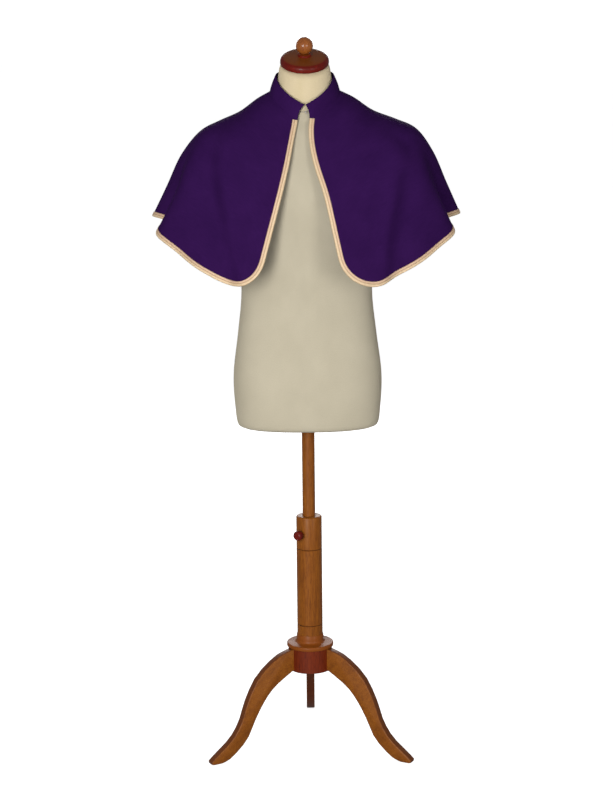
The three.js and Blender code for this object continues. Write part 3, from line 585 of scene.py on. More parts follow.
def edge_places():
    """Places along the whole edge, from the left end of the neck seam to the right one."""
    turn = np.linspace(0, 90, CORNER_SAMPLES)
    halves = []
    for side in (LEFT, RIGHT):
        corner = round_corner(turn)
        corner_azimuth = hem_azimuth(side, corner[:, 0])
        corner_share = 1 - corner[:, 1] / rib_length(corner_azimuth)
        start = seam_share(np.array([side * HEM_CORNER[side]]))[0]
        straight = np.linspace(start, corner_share[0], FRONT_EDGE_SAMPLES)[:-1]
        hem = side * np.linspace(abs(corner_azimuth[-1]), 180, HEM_SAMPLES)[1:]
        front = np.full(len(straight), side * HEM_CORNER[side])
        azimuth = np.concatenate([front, corner_azimuth, hem])
        halves.append((azimuth, np.concatenate([straight, corner_share, np.ones(len(hem))])))
    azimuth = np.concatenate([halves[0][0], halves[1][0][-2::-1]])
    share = np.concatenate([halves[0][1], halves[1][1][-2::-1]])
    run = running_length(cape_points(azimuth, share))
    stations = np.linspace(0, run[-1], int(run[-1] / BRAID_PITCH))
    turned = np.where(azimuth < 0, azimuth + 360, azimuth)
    azimuth = np.interp(stations, run, turned)
    azimuth = np.where(azimuth > 180, azimuth - 360, azimuth)
    return stations, azimuth, np.interp(stations, run, share)


# A place a little in from the edge: nearer the middle of its side, and further up
INWARD_SCALE = 0.98
INWARD_TURN = 1.6
INWARD_SHARE = 0.03


def march(azimuth, share, distances):
    """Lines on the cloth that start at the edge and run inwards, square to it."""
    points = cape_points(azimuth, share)
    along, down, normal = slopes(cape_points, azimuth, share)
    tangent = unit(np.gradient(points, axis=0))
    inward = unit(np.cross(tangent, normal))
    further = azimuth * INWARD_SCALE + np.sign(azimuth) * INWARD_TURN
    centre = cape_points(further, share - INWARD_SHARE)
    inward *= np.sign(((centre - points) * inward).sum(-1, keepdims=True))
    rows = [(points, normal)]
    for step in np.diff(distances):
        move = inward * step
        along_along, down_down = (along * along).sum(-1), (down * down).sum(-1)
        mixed = (along * down).sum(-1)
        bottom = along_along * down_down - mixed ** 2
        by_along, by_down = (along * move).sum(-1), (down * move).sum(-1)
        azimuth = azimuth + (by_along * down_down - by_down * mixed) / bottom
        azimuth = (azimuth + 180) % 360 - 180
        share = share + (by_down * along_along - by_along * mixed) / bottom
        points = cape_points(azimuth, share)
        along, down, normal = slopes(cape_points, azimuth, share)
        inward = unit(inward - normal * (inward * normal).sum(-1, keepdims=True))
        rows.append((points, normal))
    return np.stack([row[0] for row in rows], 1), np.stack([row[1] for row in rows], 1)


# The section of the braid. Places and widths across it are shares of its width
CORDS = [0.27, 0.73]
CORD_HALF_WIDTH = 0.22
CORD_HEIGHT = 0.62
TAPE_HEIGHT = 0.45
TAPE_LIFT = 0.12
RIM_WIDTH = 0.06
RIM_SHARE = 0.15
TWIST_PITCH = 3.2
TWIST_LEAN = 0.45
TWIST_RELIEF = 0.22
OVERHANG = 0.5
FOLD_OVERHANG = 1.3
TURNED_UNDER = 0.35
TURNED_END = 0.3
UNDERSIDE = 0.05


def braid_height(across, along):
    """Height of the braid's face: a thin tape with two twisted cords on it."""
    height = np.full(np.broadcast(across, along).shape, TAPE_HEIGHT)
    for cord, lean in zip(CORDS, (1, -1)):
        place = np.clip((across - cord) / CORD_HALF_WIDTH, -1, 1)
        strand = np.sin(2 * math.pi * (along / TWIST_PITCH + lean * place * TWIST_LEAN))
        round_top = np.sqrt(1 - place ** 2)
        height = height + round_top * (CORD_HEIGHT + TWIST_RELIEF * (strand - 1) / 2)
    rim = np.minimum(across, 1 - across) / RIM_WIDTH
    return TAPE_LIFT + (height + TAPE_LIFT) * np.clip(rim, RIM_SHARE, 1)


def make_braid(lines, normals, stations):
    """The braid's face, folded over the cloth's edge and turned a little under it."""
    across = np.linspace(0, 1, BRAID_STEPS + 1)
    face = lines + normals * braid_height(across[None, :], stations[:, None])[..., None]
    outer = unit(lines[:, 0] - lines[:, 1]) * OVERHANG
    face[:, 0] += outer
    drops = (OVERHANG, CLOTH, CLOTH + OVERHANG)
    wrap = [lines[:, 0] + outer * FOLD_OVERHANG - normals[:, 0] * drop for drop in drops]
    turned_in = [lines[:, 1] - normals[:, 1] * drop for drop in (CLOTH + TURNED_UNDER, TURNED_END)]
    inner_edge = lines[:, -1] + normals[:, -1] * UNDERSIDE
    net = np.stack([*np.moveaxis(face[:, ::-1], 1, 0), *wrap, *turned_in, inner_edge], 1)
    number = numbered(net)
    faces = quads(number, closed=[1]) + [number[0].tolist(), number[-1, ::-1].tolist()]
    widths = [*(across[::-1] * BRAID_WIDTH), -1, -2, -3, -2, 0, BRAID_WIDTH]
    uv = np.stack(np.broadcast_arrays(stations[:, None], np.array(widths)[None, :]), -1)
    return make_object("edge_braid_cords", net, faces, uv)


# Sewing
STITCH_SIDES = 6
STITCH_RINGS = 5
STITCH_LENGTH = 2.4
STITCH_GAP = 0.9
THREAD_RADIUS = 0.28
THREAD_END = 0.35
THREAD_RISE = 1.6
AHEAD_STEP = 0.1
VALLEY_LIFT = 0.95


def make_stitches(name, path, normals):
    """Short threads along a path, sunk at both ends, one after another."""
    length, gap, radius = STITCH_LENGTH, STITCH_GAP, THREAD_RADIUS
    run = running_length(path)
    starts = np.arange(gap, run[-1] - length, length + gap)
    turn = np.linspace(0, 2 * math.pi, STITCH_SIDES, endpoint=False)
    points, faces = [], []

    def at(values, place):
        return np.stack([np.interp(place, run, values[:, k]) for k in range(3)], -1)

    for start in starts:
        first = len(points) * STITCH_SIDES
        for k in range(STITCH_RINGS):
            t = k / (STITCH_RINGS - 1)
            centre, up = at(path, start + t * length), at(normals, start + t * length)
            ahead = at(path, start + t * length + AHEAD_STEP) - centre
            side = unit(np.cross(up, ahead))
            size = radius * (THREAD_END + (1 - THREAD_END) * math.sin(math.pi * t))
            centre = centre + up * (radius * THREAD_RISE * math.sin(math.pi * t) - radius)
            points.append([centre + size * (math.cos(a) * side + math.sin(a) * up) for a in turn])
        for k in range(STITCH_RINGS - 1):
            low = first + k * STITCH_SIDES
            for s in range(STITCH_SIDES):
                following = (s + 1) % STITCH_SIDES
                faces.append([low + s, low + following,
                              low + following + STITCH_SIDES, low + s + STITCH_SIDES])
        faces.append([first + s for s in reversed(range(STITCH_SIDES))])
        last = first + (STITCH_RINGS - 1) * STITCH_SIDES
        faces.append([last + s for s in range(STITCH_SIDES)])
    return make_object(name, np.concatenate(points), faces)


COLLAR_STITCH_DOWN = 0.11
COLLAR_STITCH_INSET = 2
COLLAR_STITCH_SAMPLES = 300


def collar_stitch_line():
    """A line of topstitching along the collar's top edge, from end to end."""
    left, right = (HEM_CORNER[side] + COLLAR_STITCH_INSET for side in (LEFT, RIGHT))
    azimuth = np.concatenate([
        -np.linspace(left, 180, COLLAR_STITCH_SAMPLES),
        np.linspace(180, right, COLLAR_STITCH_SAMPLES + 1)[1:-1],
    ])
    down = np.full(len(azimuth), COLLAR_STITCH_DOWN)
    return collar_points(azimuth, down), slopes(collar_points, azimuth, down)[2]


# Turned pieces, finer than their solids: radius and height. The ring on top of the hub is cut
# down to a flat step round a thin foot of the column, and the cap's rim is rounded softly
HUB_PROFILE = [
    (31.8, 198.4), (52, 198.4), (54, 200.4), (54, 257), (55.8, 257), (57, 257.6), (57.5, 258.8),
    (57.5, 264.4), (57.1, 265.8), (56, 266.8), (54.4, 267.2), (38.5, 268), (35.6, 269.2),
    (33.8, 271.8), (33.2, 275.5), (33, 287.6), (32.5, 288.6), (31.8, 288.6), (31.8, 198.4),
]
CAP_PROFILE = [
    (53.6, -8.5), (55.7, -8), (57.1, -6.6), (57.6, -4.6), (57.6, -1.4), (57.3, 1.2), (56.4, 3.8),
    (54.8, 5.9), (52.4, 7.5), (49, 8.7), (44, 9.7), (36, 10.6), (26, 11.4), (18.4, 11.9),
    (16.2, 12.3), (16.1, 13), (16.5, 14.5), (15.9, 16.1), (14, 17), (11, 17.8), (8, 18.3),
]
CAP_CENTRE_Z = 1616
LATHE_COLUMNS = 96


def turned(name, profile, lift, lean=0.0):
    """A piece turned on a lathe, leaned forward and lifted; an open profile gets flat ends."""
    turn = np.linspace(0, 2 * math.pi, LATHE_COLUMNS, endpoint=False)[:, None]
    radius, height = np.array(profile, float).T
    points = np.stack(np.broadcast_arrays(
        radius * np.cos(turn), radius * np.sin(turn), height), -1)
    closed = profile[0] == profile[-1]
    if closed:
        points = points[:, :-1]
    tilt = np.array(Matrix.Rotation(math.radians(lean), 3, "X"))
    points = points @ tilt.T + np.array([0, 0, lift])
    number = numbered(points)
    faces = quads(number, closed=[0, 1] if closed else [0])
    if not closed:
        faces += [number[::-1, 0].tolist(), number[:, -1].tolist()]
    return make_object(name, points, faces)


# The cloth covered form
FORM_COLUMNS = 120
FORM_STEPS = 6
COVER_SEAM_DEPTH = 0.7
COVER_SEAM_WIDTH = 0.7
NECK_SETBACK = 3.5
BASE_SHARE = 0.93
BASE_DISH = 0.2
TOP_SHARE = 0.5


def make_form():
    """The stretched cover, dished a little at the base round the bore for the pole."""
    azimuth = np.linspace(-180, 180, FORM_COLUMNS, endpoint=False)
    lean = math.radians(NECK_LEAN)
    turn = np.radians(azimuth)
    neck = np.stack([
        NECK_RADIUS * np.sin(turn),
        -NECK_RADIUS * np.cos(turn) * math.cos(lean),
        NECK_TOP_Z - NECK_RADIUS * np.cos(turn) * math.sin(lean),
    ], -1)
    neck[:, 1] += NECK_SETBACK
    controls = np.stack([*(ring_points(ring, azimuth) for ring in FORM_RINGS), neck], 1)
    rows = (controls.shape[1] - 1) * FORM_STEPS + 1
    t = np.broadcast_to(np.linspace(0, 1, rows), (FORM_COLUMNS, rows))
    points = spline(controls, t)
    across = np.roll(points, -1, 0) - np.roll(points, 1, 0)
    normals = unit(np.cross(across, np.gradient(points, axis=1)))
    away = np.minimum(abs(abs(azimuth) - 90), 180 - abs(azimuth))
    seam = COVER_SEAM_DEPTH * np.exp(-((away / COVER_SEAM_WIDTH) ** 2))
    points = points - normals * (FORM_EASE + seam[:, None, None])
    bore = np.stack([BORE_RADIUS * np.sin(turn), -BORE_RADIUS * np.cos(turn), 0 * turn], -1)
    base_z = points[:, :1, 2].mean()
    base = np.array([0, 0, base_z - BASE_DISH])
    inner = points[:, 0] * np.array([BASE_SHARE, BASE_SHARE, 0]) + base
    sunk = [bore + np.array([0, 0, BORE_TOP_Z]), bore + base, inner]
    top = points[:, -1] * TOP_SHARE + points[:, -1].mean(0) * (1 - TOP_SHARE)
    net = np.concatenate([np.stack(sunk, 1), points, top[:, None]], 1)
    number = numbered(net)
    faces = quads(number, closed=[0]) + [number[::-1, 0].tolist(), number[:, -1].tolist()]
    run = np.cumsum(np.linalg.norm(np.diff(net, axis=1), axis=2), 1).mean(0)
    height = np.concatenate([[0], run])
    uv = np.stack(np.broadcast_arrays((azimuth * math.pi)[:, None], height[None, :]), -1)
    return make_object("form_cover", net, faces, uv)


# Finishes
def linear(code):
    """A colour as Blender wants it, from its sRGB hex code."""
    channels = [int(code[k:k + 2], 16) / 255 for k in (1, 3, 5)]
    return [c / 12.92 if c <= 0.04045 else ((c + 0.055) / 1.055) ** 2.4 for c in channels] + [1]


def node(tree, kind, inputs=None, stops=(), **settings):
    """Adds a node with its settings, its values, hex colours or links, and a ramp's stops."""
    made = tree.nodes.new("ShaderNode" + kind)
    for key, value in settings.items():
        setattr(made, key, value)
    for socket, value in (inputs or {}).items():
        if isinstance(value, bpy.types.Node):
            value = value.outputs[0]
        if isinstance(value, bpy.types.NodeSocket):
            tree.links.new(value, made.inputs[socket])
        else:
            made.inputs[socket].default_value = linear(value) if isinstance(value, str) else value
    while stops and len(made.color_ramp.elements) < len(stops):
        made.color_ramp.elements.new(0.5)
    for k, (place, code) in enumerate(stops):
        made.color_ramp.elements[k].position = place
        made.color_ramp.elements[k].color = linear(code)
    return made


def new_material(name, **values):
    """A material with its shader's constant values, given by socket name."""
    material = bpy.data.materials.new(name)
    material.use_nodes = True
    tree = material.node_tree
    shader = tree.nodes["Principled BSDF"]
    for socket, value in values.items():
        shader.inputs[socket.replace("_", " ")].default_value = value
    return material, tree, shader


def connect(tree, shader, colour, relief):
    """Gives a shader its mixed colour and its relief."""
    tree.links.new(colour.outputs[RESULT], shader.inputs["Base Color"])
    tree.links.new(relief.outputs[0], shader.inputs["Normal"])


def mottle(tree, place, size, detail, stops):
    """Colours that change unevenly over patches of about a size in metres."""
    noise = node(tree, "TexNoise", {"Vector": place, "Scale": 1 / size, "Detail": detail})
    return node(tree, "ValToRGB", {0: noise}, stops=stops)


def facing(tree, direction):
    """How far the surface faces a direction, from -1 to 1."""
    normal = node(tree, "NewGeometry").outputs["Normal"]
    return node(tree, "VectorMath", {0: normal, 1: direction},
                operation="DOT_PRODUCT").outputs["Value"]


def ripple(tree, coordinate, pitch):
    """An even ripple along a coordinate, which repeats every pitch metres."""
    turn = node(tree, "Math", {0: coordinate, 1: 2 * math.pi / pitch}, operation="MULTIPLY")
    return node(tree, "Math", {0: turn}, operation="SINE")


# The colour sockets of a mix node
FIRST, SECOND, RESULT = 6, 7, 2
SHADED = dict(data_type="RGBA", blend_type="MULTIPLY")


def purple_polyester():
    # Plain woven polyester, matt with a faint bloom at grazing angles. The threads are
    # 0.4 mm apart and are drawn 1.1 mm apart, so that the weave shows up close.
    material, tree, shader = new_material(
        "purple_woven_polyester", Roughness=0.8, IOR=1.5, Sheen_Weight=0.01,
        Sheen_Roughness=0.4, Specular_IOR_Level=0.02,
    )
    shader.inputs["Sheen Tint"].default_value = linear("#8a68b8")
    place = node(tree, "UVMap", uv_map="cut")
    cut = node(tree, "SeparateXYZ", {0: place})
    thread = 1.1 * MM
    weave = node(tree, "Math", {
        0: ripple(tree, cut.outputs["X"], 2 * thread),
        1: ripple(tree, cut.outputs["Y"], 2 * thread)}, operation="MULTIPLY")
    drawn_out = node(tree, "Mapping", {"Vector": place, "Scale": (1, 0.08, 1)})
    threads = mottle(tree, drawn_out, 1.6 * MM, 2.0, [(0.35, "#c9c2d2"), (0.65, "#ffffff")])
    dye = mottle(tree, place, 60 * MM, 3.0, [(0.3, "#311349"), (0.7, "#36164f")])
    colour = node(tree, "Mix", {0: 0.25, FIRST: dye, SECOND: threads}, **SHADED)
    pucker = node(tree, "TexNoise", {"Vector": place, "Scale": 1 / (38 * MM), "Detail": 2.0})
    soft = node(tree, "Bump", {"Height": pucker, "Distance": 1.6 * MM, "Strength": 0.5})
    woven = node(tree, "Bump", {
        "Height": weave, "Distance": 0.1 * MM, "Strength": 0.6, "Normal": soft})
    connect(tree, shader, colour, woven)
    return material


def gold_braid():
    # Rayon braid with a satin gloss: the cord at the edge is yellower, the one beside
    # the cloth pinker. Painted shade darkens the valley between them and both edges of the braid.
    material, tree, shader = new_material(
        "gold_rayon_braid", Roughness=0.45, IOR=1.5, Metallic=0.1, Sheen_Weight=0.1,
    )
    place = node(tree, "UVMap", uv_map="cut")
    cut = node(tree, "SeparateXYZ", {0: place})
    across = node(tree, "Math", {0: cut.outputs["Y"], 1: 1 / (BRAID_WIDTH * MM)},
                  operation="MULTIPLY")
    # Yarn colours across the braid, with painted shade in the valley and at both edges, darkest
    # beside the cloth
    yarn_and_painted_shade = node(tree, "ValToRGB", {0: across}, stops=[
        (0.0, "#dabc92"), (0.14, "#f6dab4"), (0.4, "#f0d4ae"), (0.5, "#c09a70"),
        (0.62, "#eac6a4"), (0.84, "#f2cfb2"), (1.0, "#7c523a"),
    ])
    drawn_out = node(tree, "Mapping", {"Vector": place, "Scale": (0.25, 1, 1)})
    lustre = mottle(tree, drawn_out, 1.2 * MM, 2.0, [(0.3, "#c4b59e"), (0.7, "#ffffff")])
    colour = node(tree, "Mix", {0: 0.4, FIRST: yarn_and_painted_shade, SECOND: lustre}, **SHADED)
    lean = node(tree, "Math", {0: cut.outputs["X"], 1: cut.outputs["Y"]}, operation="ADD")
    strands = node(tree, "Bump", {
        "Height": ripple(tree, lean.outputs[0], 0.8 * MM), "Distance": 0.08 * MM,
        "Strength": 0.5})
    connect(tree, shader, colour, strands)
    return material


def cream_jersey():
    # Cotton jersey pulled tight over the form: fine wales that run up and down, matt. Below
    # the neck it is painted greyer and darker, as shade under the collar; the bare neck above
    # keeps the cotton's own cream. The wales are 0.7 mm apart and are drawn 1.4 mm apart.
    material, tree, shader = new_material(
        "cream_cotton_jersey", Roughness=0.88, IOR=1.5, Sheen_Weight=0.12,
        Specular_IOR_Level=0.3,
    )
    shader.inputs["Sheen Tint"].default_value = linear("#fff6e0")
    place = node(tree, "UVMap", uv_map="cut")
    cut = node(tree, "SeparateXYZ", {0: place})
    wale = 1.4 * MM
    loop = node(tree, "Math", {
        0: ripple(tree, cut.outputs["Y"], wale * 0.8), 1: 0.2 * MM, 2: cut.outputs["X"],
    }, operation="MULTIPLY_ADD")
    shade = node(tree, "TexNoise", {"Vector": place, "Scale": 1 / (120 * MM), "Detail": 3.0})
    # The body's colour is greyer and darker than the neck's: painted shade under the collar
    body = node(tree, "ValToRGB", {0: shade}, stops=[(0.3, "#c8bfa8"), (0.7, "#d1c8b1")])
    neck = node(tree, "ValToRGB", {0: shade}, stops=[(0.3, "#e9d7af"), (0.7, "#f0deba")])
    spot = node(tree, "TexCoord").outputs["Object"]
    height = node(tree, "SeparateXYZ", {0: spot}).outputs["Z"]
    # Painted shade on the cover fades out between these heights, up towards the neck
    shade_fade = node(tree, "MapRange", {
        "Value": height, "From Min": AXIS.z + NECK_SHADE_FADE[0], "From Max": AXIS.z + NECK_SHADE_FADE[1]})
    cotton_and_shade = node(tree, "Mix", {0: shade_fade, FIRST: body, SECOND: neck}, data_type="RGBA")
    fibre = mottle(tree, place, 2.2 * MM, 3.0, [(0.3, "#d8d0bf"), (0.7, "#ffffff")])
    colour = node(tree, "Mix", {0: 0.3, FIRST: cotton_and_shade.outputs[RESULT], SECOND: fibre}, **SHADED)
    knit = node(tree, "Bump", {
        "Height": ripple(tree, loop.outputs[0], wale), "Distance": 0.12 * MM, "Strength": 0.5})
    connect(tree, shader, colour, knit)
    return material


def varnished_wood(name, stops, lean=(0, 0, 0), gloss=0.3, coat=0.15, stain_and_painted_light=None):
    # Stained hardwood under varnish: streaks of grain along the piece, fine dark pores and
    # a clear coat that mirrors the lights. lean turns the grain to the piece's own length.
    # The last argument lays a second colour over part of the piece, given as its colour and a
    # function that says where it lies; the pieces use it for stain and for painted shade, sheen
    # and reflection.
    material, tree, shader = new_material(
        name, Roughness=0.5, IOR=1.5, Specular_IOR_Level=0.2, Coat_Weight=coat,
        Coat_Roughness=gloss, Coat_IOR=1.5,
    )
    spot = node(tree, "TexCoord").outputs["Object"]
    place = node(tree, "Mapping", {"Vector": spot, "Location": tuple(-c for c in AXIS)})
    turned = node(tree, "Mapping", {"Vector": place, "Rotation": lean})
    grain = node(tree, "Mapping", {"Vector": turned, "Scale": (1, 1, 0.045)})
    broad = node(tree, "Mapping", {"Vector": turned, "Scale": (1, 1, 0.2)})
    streaks = node(tree, "TexNoise", {
        "Vector": grain, "Scale": 1 / (2.2 * MM), "Detail": 4.0, "Roughness": 0.6})
    figure = node(tree, "TexNoise", {"Vector": broad, "Scale": 1 / (16 * MM), "Detail": 3.0})
    pores = node(tree, "TexNoise", {"Vector": grain, "Scale": 1 / (0.6 * MM), "Detail": 2.0})
    faint = node(tree, "Math", {0: figure, 1: 0.4}, operation="MULTIPLY")
    both = node(tree, "Math", {0: streaks, 1: 0.6, 2: faint}, operation="MULTIPLY_ADD")
    wood = node(tree, "ValToRGB", {0: both}, stops=stops)
    dark = node(tree, "ValToRGB", {0: pores}, stops=[(0.3, "#7a5a48"), (0.5, "#ffffff")])
    colour = node(tree, "Mix", {0: 0.55, FIRST: wood, SECOND: dark}, **SHADED)
    if stain_and_painted_light:
        code, where = stain_and_painted_light
        over = node(tree, "Mix", {0: 0.25, FIRST: code, SECOND: colour.outputs[RESULT]},
                    data_type="RGBA")
        colour = node(tree, "Mix", {
            0: where(tree, spot), FIRST: colour.outputs[RESULT], SECOND: over.outputs[RESULT],
        }, data_type="RGBA")
    worn = node(tree, "Bump", {"Height": pores, "Distance": 0.05 * MM, "Strength": 0.35})
    connect(tree, shader, colour, worn)
    return material


def leg_wood(name, azimuth, edge_stain_and_shade):
    # The board's sawn edges are painted darker and redder than its flat sides: partly the stain
    # taken darker by the sawn wood, partly painted shade.
    turn = math.radians(azimuth)

    def on_shaded_stained_edges(tree, spot):
        across = facing(tree, (math.cos(turn), math.sin(turn), 0))
        flat = node(tree, "Math", {0: across}, operation="ABSOLUTE")
        return node(tree, "MapRange", {
            "Value": flat, "From Min": 0.75, "From Max": 0.4}).outputs["Result"]

    lean = (0, math.radians(-52), math.radians(90 - azimuth))
    return varnished_wood(name, BEECH, lean, stain_and_painted_light=(edge_stain_and_shade, on_shaded_stained_edges))


def column_wood():
    # The two turned grooves are painted dark, as shade in them.
    def painted_groove_shade(tree, spot):
        height = node(tree, "SeparateXYZ", {0: spot}).outputs["Z"]
        lines = [node(tree, "Math", {0: height, 1: groove, 2: 0.9 * MM}, operation="COMPARE")
                 for groove in COLUMN_GROOVES]
        return node(tree, "Math", {0: lines[0], 1: lines[1]}, operation="ADD").outputs[0]

    return varnished_wood("brown_beech_column", BEECH, stain_and_painted_light=("#3a1a06", painted_groove_shade))


def hub_wood():
    # The turned ring on top of the hub is painted lighter brown, as the column is: partly its
    # stain, partly a painted reflection of the column in its gloss. The hub below it is red.
    def ring_stain_and_reflection(tree, spot):
        height = node(tree, "SeparateXYZ", {0: spot}).outputs["Z"]
        return node(tree, "Math", {0: height, 1: RING_FOOT}, operation="GREATER_THAN").outputs[0]

    return varnished_wood("mahogany_hub", HUB_RED, coat=0.1, stain_and_painted_light=("#935010", ring_stain_and_reflection))


def cap_wood():
    # The cap's upward face is painted browner than its polished red rim, as painted sheen on its
    # gloss.
    def painted_top_sheen(tree, spot):
        lean = math.radians(NECK_LEAN)
        upward = facing(tree, (0, -math.sin(lean), math.cos(lean)))
        return node(tree, "MapRange", {
            "Value": upward, "From Min": 0.9, "From Max": 1.0}).outputs["Result"]

    return varnished_wood("mahogany_cap", MAHOGANY, (0, math.radians(90), 0), gloss=0.22,
                          coat=0.1, stain_and_painted_light=("#7b4410", painted_top_sheen))


def nickel_wire():
    # Nickel plated steel wire, drawn and then plated: bright, with faint lengthwise marks.
    material, tree, shader = new_material("nickel_plated_wire", Metallic=1.0)
    spot = node(tree, "TexCoord").outputs["Object"]
    marks = node(tree, "TexNoise", {"Vector": spot, "Scale": 1 / (0.8 * MM), "Detail": 3.0})
    plate = node(tree, "ValToRGB", {0: marks}, stops=[(0.3, "#a9a9ae"), (0.7, "#d2d2d6")])
    tree.links.new(plate.outputs[0], shader.inputs["Base Color"])
    rough = node(tree, "MapRange", {"Value": marks, "To Min": 0.22, "To Max": 0.4})
    tree.links.new(rough.outputs["Result"], shader.inputs["Roughness"])
    return material


BEECH = [(0.3, "#703a08"), (0.5, "#90500d"), (0.7, "#a46218")]
MAHOGANY = [(0.3, "#520a03"), (0.55, "#721204"), (0.75, "#861e09")]
HUB_RED = [(0.3, "#5a1905"), (0.55, "#782a09"), (0.75, "#8c380f")]
BALL = [(0.3, "#8a4516"), (0.55, "#a55d22"), (0.75, "#ba7530")]

# Heights in metres: the foot of the hub's ring, the column's grooves, and where the painted
# shade on the form's cover, below the neck, fades out
RING_FOOT = 0.2568
COLUMN_GROOVES = [0.3136, 0.5073]
NECK_SHADE_FADE = [1.492, 1.524]


def smoothed(piece, angle=38):
    """Rounds the look of a turned or sawn piece's facets and keeps its arrises."""
    custom = piece.data.attributes.get("custom_normal")
    if custom:
        piece.data.attributes.remove(custom)
    piece.data.polygons.foreach_set("use_smooth", [True] * len(piece.data.polygons))
    weld = piece.modifiers.new("weld", "WELD")
    weld.merge_threshold = 0.01 * MM
    split = piece.modifiers.new("arrises", "EDGE_SPLIT")
    split.split_angle = math.radians(angle)
    return piece


def finish_with(piece, material):
    piece.data.materials.clear()
    piece.data.materials.append(material)
    return piece


# Assembly of the soft pieces
purple = purple_polyester()
gold = gold_braid()
cream = cream_jersey()

cape = make_cape()
collar = make_collar()
stations, edge_turns, edge_shares = edge_places()
lines, line_normals = march(edge_turns, edge_shares, np.linspace(0, BRAID_WIDTH, BRAID_STEPS + 1))
braid = make_braid(lines, line_normals, stations)
middle = BRAID_STEPS // 2
valley = lines[:, middle] + line_normals[:, middle] * VALLEY_LIFT
braid_stitches = make_stitches("braid_stitches", valley, line_normals[:, middle])
collar_stitches = make_stitches("collar_stitches", *collar_stitch_line())
form = make_form()
hub = turned("turned_hub", HUB_PROFILE, -AXIS.z / MM)
cap = turned("turned_cap", CAP_PROFILE, CAP_CENTRE_Z, NECK_LEAN)

for name, piece in cape.items():
    finish_with(piece, purple)
    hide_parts(name)
finish_with(collar, purple)
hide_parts("collar")
finish_with(braid, gold)
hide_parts("edge_braid")
finish_with(braid_stitches, gold)
finish_with(collar_stitches, purple)
finish_with(form, cream)
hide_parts("dress_form")

soft_pieces = [*cape.values(), collar, braid, braid_stitches, collar_stitches, form]
for piece in soft_pieces:
    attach(piece, "bust")
finish_with(smoothed(hub), hub_wood())
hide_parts("stand_hub")
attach(hub, "stand")
finish_with(smoothed(cap), cap_wood())
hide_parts("neck_cap")
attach(cap, "bust")

# Finishes of the carried-over solids
finish_with(smoothed(nodes["stand_column"]), column_wood())
finish_with(smoothed(nodes["pole"]), varnished_wood("brown_beech_pole", BEECH))
# The back leg's edges, which face the front, are painted darker still, as shade under the hub
LEGS = [("leg_left", -60, "#5e2c10"), ("leg_right", 60, "#5e2c10"), ("leg_back", 180, "#480c06")]
for name, azimuth, edge_stain_and_shade in LEGS:
    finish_with(smoothed(nodes[name], 50), leg_wood("brown_beech_" + name, azimuth, edge_stain_and_shade))
finish_with(smoothed(nodes["clamp_knob"]), varnished_wood("mahogany_knob", MAHOGANY, gloss=0.16))
finish_with(smoothed(nodes["finial"]), varnished_wood(
    "varnished_ball", BALL, gloss=0.16, coat=0.8))
wire = nickel_wire()
for name in ("hook", "eye"):
    finish_with(smoothed(nodes[name], 80), wire)


# Studio
def backdrop_part(name, points, faces, material):
    """A part of the backdrop: the camera sees it, and it throws no light on the piece."""
    mesh = bpy.data.meshes.new(name)
    mesh.from_pydata(points, [], faces)
    made = finish_with(add_object(name, mesh), material)
    made.visible_diffuse = False
    made.visible_glossy = False
    made.visible_shadow = False
    return made


def pale_paint(name, glow, codes):
    # Painted board, plain and matt, bright enough to fade into the white backdrop.
    material, tree, shader = new_material(name, Roughness=0.9, Emission_Strength=glow)
    shader.inputs["Emission Color"].default_value = linear("#ffffff")
    spot = node(tree, "TexCoord").outputs["Object"]
    paint = mottle(tree, spot, 400 * MM, 2.0, [(0.3, codes[0]), (0.7, codes[1])])
    tree.links.new(paint.outputs[0], shader.inputs["Base Color"])
    return material


FLOOR_RADIUS = 60
FLOOR_SIDES = 96
FLOOR_DROP = 0.0002
WALL_HEIGHT = 60

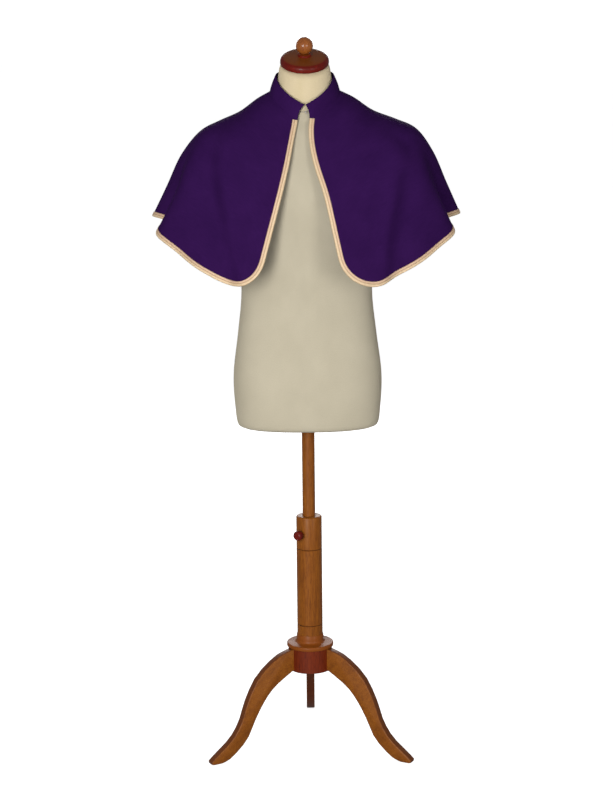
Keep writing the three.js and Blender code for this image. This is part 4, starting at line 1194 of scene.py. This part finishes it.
rim = [
    (FLOOR_RADIUS * math.cos(turn), FLOOR_RADIUS * math.sin(turn))
    for turn in np.linspace(0, 2 * math.pi, FLOOR_SIDES, endpoint=False)
]
backdrop_part(
    "floor", [(x, y, -FLOOR_DROP) for x, y in rim], [list(range(FLOOR_SIDES))],
    pale_paint("pale_floor", 0.8, ("#ececec", "#f0f0f0")),
)
backdrop_part(
    "backdrop", [(x, y, z) for z in (-FLOOR_DROP, WALL_HEIGHT) for x, y in rim],
    [[k, (k + 1) % FLOOR_SIDES, FLOOR_SIDES + (k + 1) % FLOOR_SIDES, FLOOR_SIDES + k]
     for k in range(FLOOR_SIDES)],
    pale_paint("white_backdrop", 1.0, ("#f4f4f4", "#ffffff")),
)

world = bpy.data.worlds.new("studio")
bpy.context.scene.world = world
world.use_nodes = True
background = world.node_tree.nodes["Background"].inputs
background["Color"].default_value = (1, 1, 1, 1)
background["Strength"].default_value = 0.24


LIGHT_TARGET = (0, 0, 1.1)


def softbox(name, place, width, height, power):
    """A lamp with a wide white face, which points at the chest; sizes in metres, watts."""
    lamp = bpy.data.lights.new(name, "AREA")
    lamp.shape = "RECTANGLE"
    lamp.size = width
    lamp.size_y = height
    lamp.energy = power
    made = add_object(name, lamp)
    made.location = place
    made.rotation_mode = "QUATERNION"
    made.rotation_quaternion = (Vector(LIGHT_TARGET) - Vector(place)).to_track_quat("-Z", "Y")


# The light comes from the front, a little from the left, at the height of the chest
softbox("key_light", (-1.2, -3.8, 1.5), 1.1, 2.0, 104)
softbox("fill_light", (2.3, -3.3, 1.4), 1.1, 2.0, 34)
softbox("back_light", (0, 3.9, 2.4), 2.4, 1.6, 76)

# Camera at the photo's angle, tipped down at the whole stand
IMAGE_HEIGHT = 800
FOCAL_PIXELS = 1999.9
CAMERA_PLACE = (-0.0032, -4.8105, 1.825)
CAMERA_TIP = 11.24
CAMERA_ROLL = -0.565

camera_data = bpy.data.cameras.new("camera")
camera_data.sensor_width = 36
camera_data.lens = FOCAL_PIXELS * camera_data.sensor_width / IMAGE_HEIGHT
camera = add_object("camera", camera_data)
camera.matrix_world = (
    Matrix.Translation(CAMERA_PLACE)
    @ Matrix.Rotation(math.radians(90 - CAMERA_TIP), 4, "X")
    @ Matrix.Rotation(math.radians(CAMERA_ROLL), 4, "Z")
)
bpy.context.scene.camera = camera
bpy.context.scene.view_settings.view_transform = "Standard"
